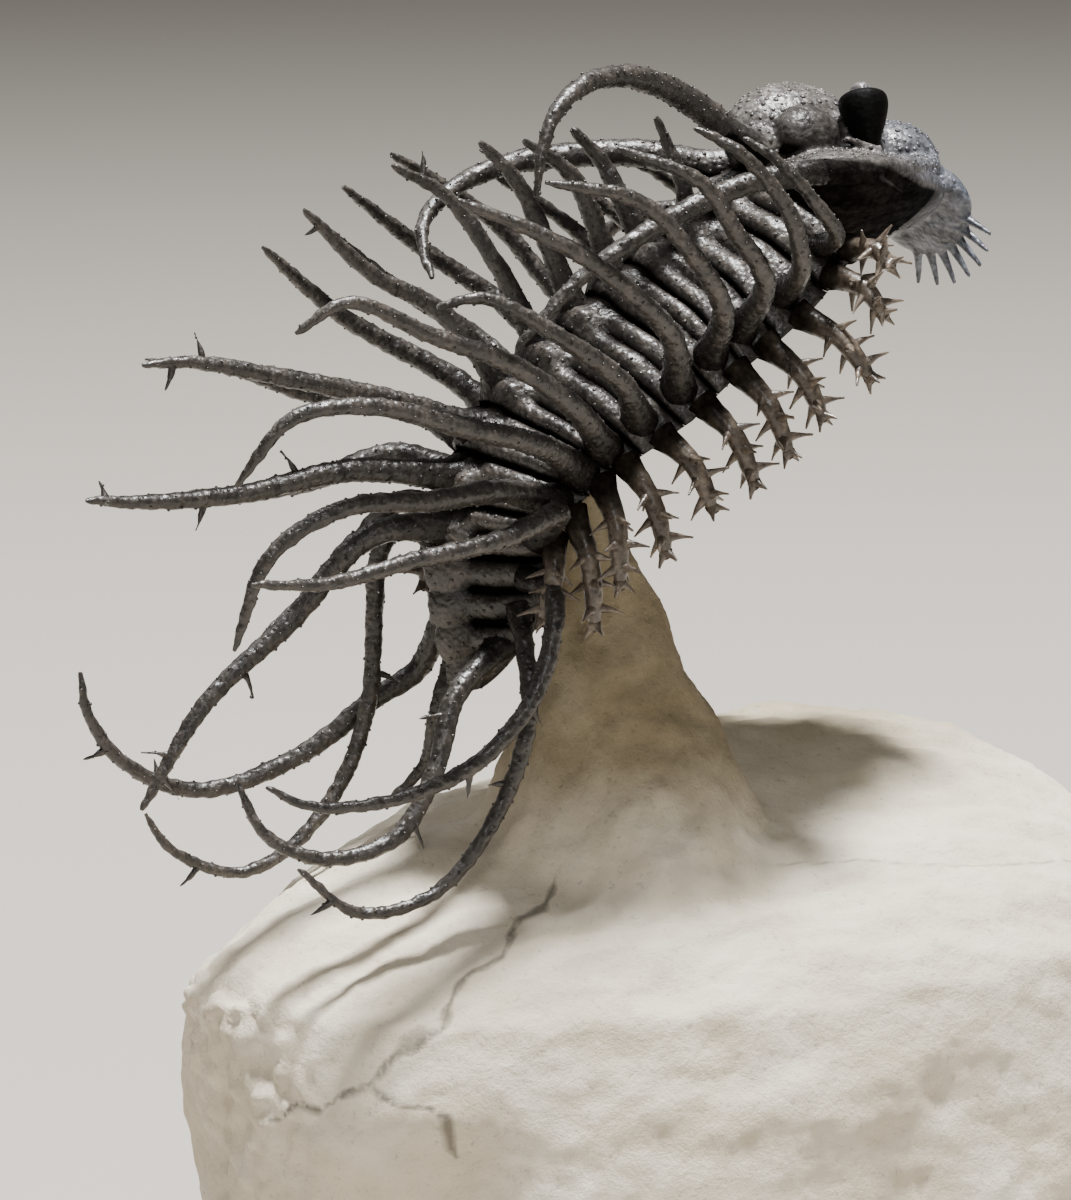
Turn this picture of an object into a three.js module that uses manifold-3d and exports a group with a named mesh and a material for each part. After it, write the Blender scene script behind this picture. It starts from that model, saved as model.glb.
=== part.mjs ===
// A spiny trilobite, freed from the stone above a block of pale limestone and still held by a stalk of it.
// Millimetres, +Z up. The origin is in the block's flat sawn base. The head looks to +X and the animal's
// right side faces -Y. The head is turned about its own length, as the fossil lay in the stone.
import * as THREE from 'three';
import { mergeVertices } from 'three/addons/utils/BufferGeometryUtils.js';
import Module from 'manifold-3d';

const wasm = await Module();
wasm.setup();

// Driving dimensions of the body
const SEGMENTS = 10;
const SEGMENT_LENGTH = 3.8;
const FIRST_SEGMENT = 1.7;
const JOINT_GAP = 0.3;
const TAIL_LENGTH = 10.6;
const TAIL_START = FIRST_SEGMENT + SEGMENTS * SEGMENT_LENGTH;
const SHELL = 1.4;
const RIDGE = 0.4;
const GROOVE = 0.3;

// Midline of the back, from the neck to the end of the tail
const MIDLINE = new THREE.CatmullRomCurve3([
  [0, 1.8, 81.6], [-4.9, 0.9, 77.4], [-11.5, 0.2, 73.8], [-17.4, 0, 69.4], [-22.6, 0, 64.6],
  [-25.4, 0, 59], [-25.9, 0, 53.5], [-24.9, 0, 47.5], [-22, 0, 40.5],
].map((place) => new THREE.Vector3(...place)));

// Half width, drop from the midline to the margin, and roll of the body, at distances along the midline
const STATIONS = [
  { at: 0, half: 8.2, drop: 9.4, roll: 14 },
  { at: 10, half: 8.8, drop: 9.8, roll: 10 },
  { at: 20, half: 9.0, drop: 9.4, roll: 5 },
  { at: 30, half: 8.6, drop: 7.2, roll: 1 },
  { at: 39, half: 7.4, drop: 4.8, roll: 0 },
  { at: 46, half: 5.8, drop: 4.0, roll: 0 },
  { at: 51, half: 3.0, drop: 2.6, roll: 0 },
];

// Right half of the section of a segment: share of the half width, share of the drop
const BACK_PROFILE = [[0, 0], [0.2, -0.05], [0.36, -0.25], [0.68, -0.44], [0.88, -0.74], [1, -1]];

const STONE_GREY = new THREE.MeshStandardMaterial({ color: 0x55504a, roughness: 0.5, metalness: 0 });
const EYE_GREY = new THREE.MeshStandardMaterial({ color: 0x3c3835, roughness: 0.35, metalness: 0 });
const LIMESTONE = new THREE.MeshStandardMaterial({ color: 0xd8cdb8, roughness: 0.95, metalness: 0 });

// Slivers finer than this are merged away
const SIMPLIFY = 0.08;

const part = new THREE.Group();

// Solids: joined, cut and put back as meshes
function toSolid(geometry) {
  const plain = geometry.index ? geometry.toNonIndexed() : geometry.clone();
  plain.deleteAttribute('normal');
  plain.deleteAttribute('uv');
  const merged = mergeVertices(plain, 1e-4);
  return new wasm.Manifold(new wasm.Mesh({
    numProp: 3,
    vertProperties: new Float32Array(merged.attributes.position.array),
    triVerts: new Uint32Array(merged.index.array),
  }));
}

function join(solids) {
  return solids.reduce((whole, next) => whole.add(next));
}

function largest(solid) {
  return solid.decompose().sort((a, b) => b.volume() - a.volume())[0];
}

function addPiece(name, solid, material) {
  const { vertProperties, triVerts } = solid.simplify(SIMPLIFY).getMesh();
  const geometry = new THREE.BufferGeometry();
  geometry.setAttribute('position', new THREE.BufferAttribute(vertProperties, 3));
  geometry.setIndex(new THREE.BufferAttribute(triVerts, 1));
  const mesh = new THREE.Mesh(geometry, material);
  mesh.name = name;
  part.add(mesh);
}

// Moves every vertex of a geometry by a rule
function reshape(geometry, rule) {
  const places = geometry.attributes.position;
  for (let i = 0; i < places.count; i += 1) {
    const moved = rule(new THREE.Vector3().fromBufferAttribute(places, i));
    places.setXYZ(i, moved.x, moved.y, moved.z);
  }
  return geometry;
}

// The body's own frame at a distance along the midline: forward of the tail, to the left, and up the back
function bodyFrame(distance) {
  const share = THREE.MathUtils.clamp(distance / MIDLINE.getLength(), 0, 1);
  const tailward = MIDLINE.getTangentAt(share);
  const upright = new THREE.Vector3(tailward.z, 0, -tailward.x);
  const roll = THREE.MathUtils.degToRad(station('roll', distance));
  const left = new THREE.Vector3(0, Math.cos(roll), 0).addScaledVector(upright, -Math.sin(roll));
  const back = upright.multiplyScalar(Math.cos(roll)).add(new THREE.Vector3(0, Math.sin(roll), 0));
  return { place: MIDLINE.getPointAt(share), tailward, left, back };
}

function station(key, distance) {
  const next = STATIONS.findIndex((stop) => stop.at >= distance);
  if (next <= 0) return STATIONS[next === 0 ? 0 : STATIONS.length - 1][key];
  const before = STATIONS[next - 1];
  const after = STATIONS[next];
  return THREE.MathUtils.lerp(before[key], after[key], (distance - before.at) / (after.at - before.at));
}

// A point of the body: share of the half width, height over the midline in millimetres
function onBody(distance, share, height) {
  const frame = bodyFrame(distance);
  return frame.place.addScaledVector(frame.left, share * station('half', distance))
    .addScaledVector(frame.back, height);
}

// Fall of the outer shell at a share of the half width, as a share of the drop
function shellFall(share) {
  const side = Math.abs(share);
  const next = Math.max(1, BACK_PROFILE.findIndex((corner) => corner[0] >= side));
  const [fromSide, fromFall] = BACK_PROFILE[next - 1];
  const [toSide, toFall] = BACK_PROFILE[next];
  return THREE.MathUtils.mapLinear(side, fromSide, toSide, fromFall, toFall);
}

function shellHeight(distance, share) {
  return shellFall(share) * station('drop', distance);
}

// Corners of the section: side, and how far under the outer shell; the belly is hollow between the margins
const BELLY = 3.2;
const SECTION = [
  ...BACK_PROFILE.map(([side]) => ({ side, under: 0 })),
  { side: 0.9, under: SHELL }, { side: 0.72, under: SHELL }, { side: 0.45, under: BELLY },
  { side: -0.45, under: BELLY }, { side: -0.72, under: SHELL }, { side: -0.9, under: SHELL },
  ...BACK_PROFILE.slice(1).reverse().map(([side]) => ({ side: -side, under: 0 })),
];
// The same section flat on a page, from which the band is drawn out
const FLAT_WIDTH = 9;
for (const corner of SECTION) {
  const height = shellFall(corner.side) * FLAT_WIDTH - corner.under;
  corner.flat = new THREE.Vector2(corner.side * FLAT_WIDTH, height);
}

// Arched band of shell between two distances; relief gives the rise of its outside at each step
function shellBand(start, end, relief, { grow = 0, narrowing = () => 1 } = {}) {
  const steps = relief.length - 1;
  const outline = new THREE.Shape(SECTION.map((corner) => corner.flat));
  const band = new THREE.ExtrudeGeometry(outline, { depth: 1, steps, bevelEnabled: false });
  return toSolid(reshape(band, (place) => {
    const flat = new THREE.Vector2(place.x, place.y);
    const { side, under } = SECTION.find((corner) => corner.flat.distanceTo(flat) < 0.01);
    const along = 1 - place.z;
    const distance = THREE.MathUtils.lerp(start, end, along);
    const width = narrowing(along);
    const isMargin = Math.abs(side) === 1;
    const spread = width * (under ? 1 - grow / FLAT_WIDTH : 1 + grow / FLAT_WIDTH);
    let height = shellHeight(distance, side) * width;
    if (under) height -= (under === BELLY ? BELLY * width : under) + grow;
    else height += isMargin ? -grow : relief[Math.round(along * steps)] + grow;
    return onBody(distance, side * spread, height);
  }));
}

// Tapered, slightly blunt spine bent along a curve between two shares of its length
function taper(curve, thickness, { from = 0, to = 1, sides = 6, steps = 8 } = {}) {
  const chord = curve.getPointAt(1).sub(curve.getPointAt(0));
  const reference = Math.abs(chord.y) < 0.7 * chord.length()
    ? new THREE.Vector3(0, 1, 0) : new THREE.Vector3(1, 0, 0);
  const round = new THREE.CylinderGeometry(1, 1, 1, sides, steps);
  return reshape(round, (corner) => {
    const share = THREE.MathUtils.lerp(from, to, corner.y + 0.5);
    const along = curve.getTangentAt(share);
    const across = reference.clone().addScaledVector(along, -reference.dot(along)).normalize();
    const other = new THREE.Vector3().crossVectors(across, along);
    const radius = thickness(share);
    return curve.getPointAt(share).addScaledVector(across, corner.x * radius)
      .addScaledVector(other, corner.z * radius);
  });
}

// Thickness rule of a long spine: thick root, long slow taper, sharp end
const SPINE_TIP = 0.14;
const SPINE_TAPER = 0.42;
function spineThickness(root) {
  return (share) => SPINE_TIP + (root - SPINE_TIP) * (1 - SPINE_TAPER * share) * Math.sqrt(1 - share ** 5);
}

function curveThrough(places) {
  return new THREE.CatmullRomCurve3(places.map((place) => (
    place.isVector3 ? place : new THREE.Vector3(...place))), false, 'centripetal');
}

// Three-sided thorn with its base inside what it grows from
const THORN_LENGTH = 1.5;
const THORN_ROOT = 0.42;
const THORN_RAKE = 0.35;
const UPWARD = new THREE.Vector3(0, 1, 0);
function thorn(place, direction, length) {
  const cone = new THREE.ConeGeometry(THORN_ROOT, length, 3, 1).translate(0, length / 2, 0);
  const turn = new THREE.Quaternion().setFromUnitVectors(UPWARD, direction.normalize());
  return toSolid(cone.applyQuaternion(turn).translate(place.x, place.y, place.z));
}

// Thorns of a spine: share of its length, and the turn about the spine in degrees
function withThorns(solid, curve, thorns, thickness) {
  return join([solid, ...thorns.map(([share, turn, length = THORN_LENGTH]) => {
    const along = curve.getTangentAt(share);
    const direction = new THREE.Vector3(0, 1, 0).cross(along).normalize();
    direction.applyAxisAngle(along, THREE.MathUtils.degToRad(turn)).addScaledVector(along, THORN_RAKE);
    return thorn(curve.getPointAt(share), direction, length + thickness(share));
  })]);
}

// Short side spines on the right, from the neck to the tail: their segment, how far before its middle each
// starts, and the tip. The first segment carries two.
const SIDE_SPINES = [
  { index: 0, forward: 1.1, tip: [3.5, -13, 74] },
  { index: 0, forward: -1, tip: [3, -13, 70.5] },
  { index: 1, forward: 0, tip: [2, -13, 66] },
  { index: 2, forward: 0.9, tip: [-2, -13, 63.5] },
  { index: 3, forward: 0.9, tip: [-4.5, -12.5, 61] },
  { index: 4, forward: 0.5, tip: [-7, -12, 59] },
  { index: 5, forward: 0.3, tip: [-10.5, -12, 57.5] },
  { index: 6, forward: 0.4, tip: [-14, -11.5, 54.5] },
  { index: 7, forward: 0.3, tip: [-17.5, -11, 52.5] },
  { index: 8, forward: -0.2, tip: [-18.9, -9.9, 49.5] },
  { index: 9, forward: 0.1, tip: [-22.4, -8.6, 50] },
];

// Rings of a short side spine: share of its length, radius, and which of its six corners are thornlets
const SIDE_SPINE_RINGS = [
  { share: 0, radius: 0.8, thorns: [] },
  { share: 0.42, radius: 0.66, thorns: [1, 4] },
  { share: 0.62, radius: 0.55, thorns: [] },
  { share: 0.8, radius: 0.5, thorns: [0, 2, 4] },
  { share: 1, radius: 0.25, thorns: [] },
];
const THORNLET = 1.4;
const THORNLET_LIFT = 0.2;
function thornyStub(places, turn, grow = 0) {
  const levels = SIDE_SPINE_RINGS.length - 1;
  const curve = curveThrough(places);
  const along = places.at(-1).clone().sub(places[0]).normalize();
  const across = new THREE.Vector3(0, 1, 0).addScaledVector(along, -along.y).normalize();
  across.applyAxisAngle(along, turn);
  const other = new THREE.Vector3().crossVectors(across, along);
  return toSolid(reshape(new THREE.CylinderGeometry(1, 1, 1, 6, levels), (corner) => {
    const ring = SIDE_SPINE_RINGS[Math.round((corner.y + 0.5) * levels)];
    const number = (Math.round(Math.atan2(corner.x, corner.z) / (Math.PI / 3)) + 6) % 6;
    const isThorn = ring.thorns.includes(number);
    const reach = (isThorn ? THORNLET : ring.radius) + grow;
    const lift = isThorn ? THORNLET_LIFT : grow * Math.sign(ring.share - 0.5);
    return curve.getPointAt(ring.share).addScaledVector(along, lift)
      .addScaledVector(across, corner.x * reach).addScaledVector(other, corner.z * reach);
  }));
}

function segmentMiddle(index) {
  return FIRST_SEGMENT + (index + 0.5) * SEGMENT_LENGTH;
}

// Short side spine, bowed outward; the left one is the right one mirrored from its own root
const SIDE_SPINE_SHARE = 0.95;
const SIDE_SPINE_BOW = new THREE.Vector3(0, -0.9, 0.6);
function sideSpine({ index, forward, tip }, side, grow = 0) {
  const distance = segmentMiddle(index) - forward;
  const height = shellHeight(distance, SIDE_SPINE_SHARE) - SHELL * 0.4;
  const [rightRoot, leftRoot] = [-1, 1].map((edge) => onBody(distance, edge * SIDE_SPINE_SHARE, height));
  const reach = new THREE.Vector3(...tip).sub(rightRoot);
  const root = side < 0 ? rightRoot : leftRoot;
  const places = [reach.clone().multiplyScalar(0.5).add(SIDE_SPINE_BOW), reach].map((offset) => {
    if (side > 0) offset.y = -offset.y;
    return offset.add(root);
  });
  const turn = (index % 2) * Math.PI / 6;
  return thornyStub([root, ...places], turn, grow);
}

// Everything that the long spines and the stalk have to stay clear of: the whole back, a little larger
const bodyEnvelope = join([
  shellBand(FIRST_SEGMENT, TAIL_START + TAIL_LENGTH, Array(21).fill(RIDGE), { grow: JOINT_GAP }),
  ...SIDE_SPINES.flatMap((spine) => [-1, 1].map((side) => sideSpine(spine, side, JOINT_GAP))),
]);

// The first segments again, more finely, for the back of the head
const neckEnvelope = join([
  shellBand(FIRST_SEGMENT - JOINT_GAP / 2, FIRST_SEGMENT + 12, Array(14).fill(RIDGE), { grow: JOINT_GAP }),
  ...SIDE_SPINES.slice(0, 2).flatMap((spine) => [-1, 1].map((side) => sideSpine(spine, side, JOINT_GAP))),
]);

// Segments of the thorax: a raised rib and a groove across each
const RIB_RELIEF = [-GROOVE, RIDGE, RIDGE, -GROOVE / 2];
const CLEARANCE = 0.2;
function segmentBand(index, grow = 0) {
  const start = FIRST_SEGMENT + index * SEGMENT_LENGTH + JOINT_GAP / 2;
  return shellBand(start - grow, start + SEGMENT_LENGTH - JOINT_GAP + grow, RIB_RELIEF, { grow });
}

for (let index = 0; index < SEGMENTS; index += 1) {
  const ahead = segmentBand(Math.max(index - 1, 0), CLEARANCE);
  const own = SIDE_SPINES.filter((spine) => spine.index === index);
  const sides = own.flatMap((spine) => [-1, 1].map((side) => {
    const solid = sideSpine(spine, side);
    return index > 0 ? largest(solid.subtract(ahead)) : solid;
  }));
  addPiece(`thorax_segment_${index + 1}`, join([segmentBand(index), ...sides]), STONE_GREY);
}

// Tail shield, rounded at its end
const tailRelief = [0, RIDGE, 0, RIDGE, 0, RIDGE, 0];
addPiece('tail_shield', shellBand(
  TAIL_START + JOINT_GAP / 2, TAIL_START + TAIL_LENGTH, tailRelief,
  { narrowing: (share) => Math.sqrt(1 - 0.93 * share ** 4) }), STONE_GREY);

// Long spines of the right side, one for each segment, from the margin to the tip
const RIGHT_SPINES = [
  { root: 0.75, places: [[-0.5, -12, 76.5], [-3, -13, 79], [-5, -13, 81],
    [-6.5, -12.5, 82.5], [-8, -11.5, 83.5]] },
  { root: 0.9, places: [[-4, -13, 74.5], [-6, -14.5, 78.5], [-8, -14.5, 81],
    [-10, -14, 83], [-12.5, -12.5, 84.5]] },
  { root: 0.95, places: [[-7, -13, 73.5], [-10.5, -14.5, 77.5], [-13.5, -15, 81], [-19, -13, 83.5]] },
  { root: 0.95, places: [[-10.5, -13, 72], [-15, -15, 77], [-18.5, -15, 80], [-25, -13.5, 81.5]] },
  { root: 1, places: [[-14, -12, 70], [-19, -14, 74], [-23.5, -14, 77], [-31, -12, 80.5]] },
  { root: 0.95, places: [[-17.5, -11, 67], [-22, -12, 70], [-28.5, -11, 73.5], [-31.5, -10, 73]] },
  { root: 1, places: [[-21.5, -11.5, 65.5], [-27, -12.5, 69], [-33.5, -12.5, 71.5],
    [-39.5, -12, 74], [-43, -11, 72]] },
  { root: 1.05, places: [[-24, -11, 63], [-31, -12.5, 65], [-38.5, -13, 67],
    [-44, -12.5, 66.5], [-47.5, -11, 62]] },
  { root: 1.05, places: [[-27, -10.5, 60], [-33, -12, 60], [-40, -12, 60],
    [-45, -11, 57], [-47, -9.5, 50.5]] },
  { root: 0.95, places: [[-22, -10, 58], [-28.5, -13, 57], [-35, -14, 56.5],
    [-42.5, -14.5, 55.5], [-48.5, -15, 56]] },
];

// Long spines of the left side
const LEFT_SPINES = [
  { root: 0.75, places: [[2, 11.5, 76.5], [-0.5, 12, 78.5], [-3, 11.5, 79.5]] },
  { root: 0.85, places: [[-3, 12.5, 75], [-5, 13, 76.5], [-8.5, 12.5, 79]] },
  { root: 0.9, places: [[-5.5, 12.5, 73], [-9.5, 13.5, 76.5], [-14.5, 13, 79.5]] },
  { root: 0.95, places: [[-9.5, 12, 70.5], [-13, 13.5, 75], [-18, 13.5, 78.5], [-22.5, 13, 81]] },
  { root: 1, places: [[-14, 12.5, 70], [-19, 13.5, 73.5], [-27, 12, 79]] },
  { root: 0.95, places: [[-15.5, 12, 67], [-23, 13, 72], [-29, 12, 76.5]] },
  { root: 1.05, places: [[-17.5, 11, 64], [-26.5, 13, 69.5], [-33.5, 12, 75]] },
  { root: 1.05, places: [[-22.5, 11.5, 63], [-29, 13, 64], [-37, 12.5, 67]] },
  { root: 1.05, places: [[-23.5, 11, 59.5], [-30, 13, 57.5], [-41, 12.5, 57.5]] },
  { root: 0.95, places: [[-23.5, 10.5, 56], [-28, 12, 51], [-34.5, 11.5, 46.5]] },
];

// A long spine starts inside the shell, a little up from the margin
const LONG_SPINE_SHARE = 0.86;
function sideCurve(index, side) {
  const distance = segmentMiddle(index);
  const height = shellHeight(distance, LONG_SPINE_SHARE) - SHELL / 2;
  const root = onBody(distance, side * LONG_SPINE_SHARE, height);
  return curveThrough([root, ...(side < 0 ? RIGHT_SPINES : LEFT_SPINES)[index].places]);
}

for (let index = 0; index < SEGMENTS; index += 1) {
  for (const [name, side, spines] of [['right', -1, RIGHT_SPINES], ['left', 1, LEFT_SPINES]]) {
    const thickness = spineThickness(spines[index].root);
    const blade = toSolid(taper(sideCurve(index, side), thickness, { sides: 5, steps: 6 }));
    addPiece(`${name}_spine_${index + 1}`, largest(blade.subtract(bodyEnvelope)), STONE_GREY);
  }
}

// Spines of the midline, one for each segment from the second on, with thorny ends
const BACK_SPINES = [
  { root: 0.75, places: [[-5.5, 0.5, 79], [-6.5, 1, 82], [-7.5, 1, 84]], thorns: [] },
  { root: 1.0, places: [[-10.5, 0.5, 78], [-12, 1, 81], [-14.5, 1, 83.5]], thorns: [] },
  { root: 1.0, places: [[-13, 0, 76.5], [-15.5, -0.5, 80.5], [-19.5, -1, 83]], thorns: [] },
  { root: 1.0, places: [[-17, 0, 75.5], [-19.5, 0, 80], [-22.5, 0, 83]], thorns: [[0.9, 90, 0.9]] },
  { root: 0.9, places: [[-20.5, 1, 74], [-24, 2, 79], [-28.5, 2, 81.5]], thorns: [[0.86, 10]] },
  { root: 0.95, places: [[-25, 1, 71], [-30.5, 1, 74], [-36.5, 0, 79]], thorns: [[0.93, 180, 0.9]] },
  { root: 1.05, places: [[-29, 0, 65], [-38.5, 0, 67.5], [-45.5, 0, 69], [-49, 0, 69]],
    thorns: [[0.84, 10], [0.93, 190], [0.96, 80, 1]] },
  { root: 1.1, places: [[-33, 0, 60.5], [-41.5, 0, 59.5], [-48.5, 0, 59.5], [-53.5, 0, 60]],
    thorns: [[0.45, 10], [0.7, 190], [0.94, 100], [0.96, 280], [0.95, 10, 1]] },
  { root: 1.1, places: [[-31, 1, 55.5], [-36.5, 2, 50], [-43.5, 2, 44.5], [-48.5, 2, 37.5]],
    thorns: [[0.62, 200], [0.88, 20], [0.93, 200]] },
];

BACK_SPINES.forEach(({ root, places, thorns }, index) => {
  const distance = segmentMiddle(index + 1);
  const curve = curveThrough([onBody(distance, 0, -1.2), ...places]);
  const thickness = spineThickness(root);
  const blade = toSolid(taper(curve, thickness, { sides: 5, steps: 6 }));
  const thorny = withThorns(blade, curve, thorns, thickness).subtract(bodyEnvelope);
  addPiece(`back_spine_${index + 2}`, largest(thorny), STONE_GREY);
});

// Tail spines: where along the tail and how far to the side each starts, then its way to the tip
const TAIL_SPINES = [
  { name: 'right_front', at: 1.6, side: -0.85, root: 0.85,
    places: [[-22, -9.5, 52], [-24.5, -11.5, 46], [-29.5, -12, 41.5], [-36.5, -12, 39.5], [-42, -11, 39.5],
      [-45, -10, 41]], thorns: [[0.36, 200, 1], [0.55, 170]] },
  { name: 'right_middle', at: 4.2, side: -0.8, root: 0.8,
    places: [[-24, -9.5, 44], [-26, -9.5, 38], [-31, -9, 32], [-37, -8.5, 31], [-41.5, -8, 34.5]],
    thorns: [[0.4, 20, 1], [0.9, 180]] },
  { name: 'right_rear', at: 7.2, side: -0.6, root: 0.95,
    places: [[-27.5, -5, 44.5], [-29.5, -6, 40], [-33, -6.5, 35.5], [-38.5, -6, 34.5], [-42.5, -5, 36.5],
      [-44, -4, 40]], thorns: [[0.25, 0], [0.5, 180]] },
  { name: 'left_front', at: 1.6, side: 0.85, root: 0.85,
    places: [[-24.5, 8, 55], [-26, 8.5, 53], [-26.5, 8.5, 48], [-27, 8.5, 42], [-29.5, 8.5, 36],
      [-33.5, 8.5, 32], [-37.5, 9, 30.5], [-43, 9, 33], [-44.5, 9.5, 35.5]],
    thorns: [[0.36, 180], [0.88, 180]] },
  { name: 'left_middle', at: 4.8, side: 0.8, root: 1.0,
    places: [[-23, 8.5, 44], [-26, 9.5, 42], [-31, 11.5, 38], [-38.5, 12.5, 36],
      [-44.5, 12.5, 38.5], [-47.5, 12.5, 42.5], [-48, 12.5, 45.5]], thorns: [[0.86, 180], [0.74, 20, 1]] },
  { name: 'left_rear', at: 7.8, side: 0.55, root: 0.8,
    places: [[-24.3, 3.5, 41.5], [-24.6, 4.5, 38], [-27, 5.5, 35.2]], thorns: [] },
];

TAIL_SPINES.forEach(({ name, at, side, root, places, thorns }) => {
  const distance = TAIL_START + at;
  const start = onBody(distance, side, shellHeight(distance, side) - SHELL * 0.5);
  const curve = curveThrough([start, ...places]);
  const thickness = spineThickness(root);
  const blade = toSolid(taper(curve, thickness, { sides: 5, steps: 9 }));
  const thorny = withThorns(blade, curve, thorns, thickness).subtract(bodyEnvelope);
  addPiece(`tail_spine_${name}`, largest(thorny), STONE_GREY);
});

// Head: its own frame, forward along X, left along Y, turned about its length with the right side up
const HEAD_PITCH = 8;
const HEAD_ROLL = 28;
const headFrame = new THREE.Matrix4().makeTranslation(0.5, 2, 81.7)
  .multiply(new THREE.Matrix4().makeRotationY(THREE.MathUtils.degToRad(HEAD_PITCH)))
  .multiply(new THREE.Matrix4().makeRotationX(THREE.MathUtils.degToRad(-HEAD_ROLL)));

function inHead(geometry) {
  return toSolid(geometry.applyMatrix4(headFrame));
}

function headPoint(place) {
  return new THREE.Vector3(...place).applyMatrix4(headFrame);
}

function dome(center, radii, around = 9, down = 5) {
  const ball = new THREE.SphereGeometry(1, around, down);
  ball.rotateX(Math.PI / 2);
  ball.scale(...radii);
  ball.translate(...center);
  return inHead(ball);
}

// Low cheek shield: a half round plan, blunt behind, narrower and higher to the front
const SHIELD = {
  x: 5, z: -5, front: 11, behind: 6, above: 3.6, below: 2.4,
  halfWidth: 9, narrowing: 0.18, droop: 0.72, rise: 1.4,
};
const shield = inHead(reshape(new THREE.SphereGeometry(1, 14, 7).rotateX(Math.PI / 2), (corner) => {
  const length = corner.x > 0 ? SHIELD.front : SHIELD.behind;
  const height = corner.z > 0 ? SHIELD.above : SHIELD.below;
  const forward = Math.max(corner.x, 0);
  return new THREE.Vector3(
    SHIELD.x + corner.x * length,
    corner.y * SHIELD.halfWidth * (1 - SHIELD.narrowing * forward),
    SHIELD.z + corner.z * height - SHIELD.droop * corner.y ** 2 + SHIELD.rise * forward);
}));

// Thick rim round the front of the cheeks, from one corner of the head to the other
const RIM_RIGHT = [[-0.6, -9.3, -6.4], [5.6, -8.4, -5.2], [10.4, -6, -3.6], [14, -2.8, -1.9]];
const RIM_LEFT = [[14, 2.8, -1.9], [11.3, 5.6, -3], [8.3, 7.9, -3.6]];
const RIM_RADIUS = 1.0;
const rimCurve = curveThrough([...RIM_RIGHT, [15, 0, -1.5], ...RIM_LEFT].map(headPoint));
const rim = toSolid(taper(rimCurve, () => RIM_RADIUS, { sides: 5, steps: 9 }));

// Fan on the snout: a palm and seven fingers, in a plane that dips forward
const FAN_DIP = 50;
const FAN_PALM = 5;
const FAN_HALF_WIDTH = 4;
const FAN_FINGERS = 7;
const FAN_SPREAD = 68;
const FAN_TIP = 7.4;
const FAN_THICKNESS = 1.1;
function fan() {
  const outline = new THREE.Shape();
  const polar = (radius, degrees) => {
    const angle = THREE.MathUtils.degToRad(degrees);
    return [radius * Math.cos(angle), radius * Math.sin(angle)];
  };
  outline.moveTo(-3, -3.2);
  outline.lineTo(1, -FAN_HALF_WIDTH);
  for (let finger = 0; finger < FAN_FINGERS; finger += 1) {
    const middle = FAN_SPREAD * (finger / (FAN_FINGERS - 1) - 0.5);
    outline.lineTo(...polar(FAN_PALM, middle - 3.6));
    outline.lineTo(...polar(FAN_TIP, middle - 1.4));
    outline.lineTo(...polar(FAN_TIP, middle + 1.4));
    outline.lineTo(...polar(FAN_PALM, middle + 3.6));
  }
  outline.lineTo(1, FAN_HALF_WIDTH);
  outline.lineTo(-3, 3.2);
  const plate = new THREE.ExtrudeGeometry(outline, { depth: FAN_THICKNESS, steps: 1, bevelEnabled: false });
  plate.translate(0, 0, -FAN_THICKNESS / 2);
  plate.rotateY(THREE.MathUtils.degToRad(FAN_DIP));
  plate.translate(14.1, 0, -2.8);
  return inHead(plate);
}

// The swollen middle lobe, the low one before it and a small one on each side of them
const MIDDLE_LOBE = [[4.4, 0, 0.4], [5.5, 3.9, 4.5]];
const FRONT_LOBE = [[11.4, 0, -1.4], [4.4, 5.2, 3.6]];
const SIDE_LOBE = [7.3, 3, -1];
const SIDE_LOBE_RADII = [2.8, 2.2, 2.8];
const headParts = [
  shield,
  dome(...MIDDLE_LOBE),
  dome(...FRONT_LOBE),
  ...[-1, 1].map((side) => dome([SIDE_LOBE[0], side * SIDE_LOBE[1], SIDE_LOBE[2]], SIDE_LOBE_RADII, 7, 4)),
  rim,
  fan(),
];

// Ram's horns of the neck and the long cheek spines
const HORN_HALF = [[0.5, 1.6, -1.2], [-2, 2.4, -1], [-6, 4, 0.2], [-10.8, 6.3, 0.6], [-15.4, 8, 0.1],
  [-19.3, 9, -1.6], [-22, 9.2, -4.2], [-23, 8.4, -7], [-23.2, 7.4, -9.6]];
const HORN_ROOT = 1.12;
const CHEEK_SPINE_STRAIGHT = 0.6;
const CHEEK_SPINE_RIGHT = [[-6.5, -9.5, 80], [-12.5, -9.5, 78], [-19, -9, 74.5], [-24.5, -8.5, 69.5]];
const CHEEK_SPINE_LEFT = [[5.5, 12.5, 75.5], [1, 17, 75], [-4, 19.5, 72]];
const CHEEK_SHAPE = { sides: 5, steps: 7 };
// Share of a horn's length that is one piece with the head
const HORN_CUT = 0.13;

// Room left in the head for the pieces that stand on it
const seats = [];

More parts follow.
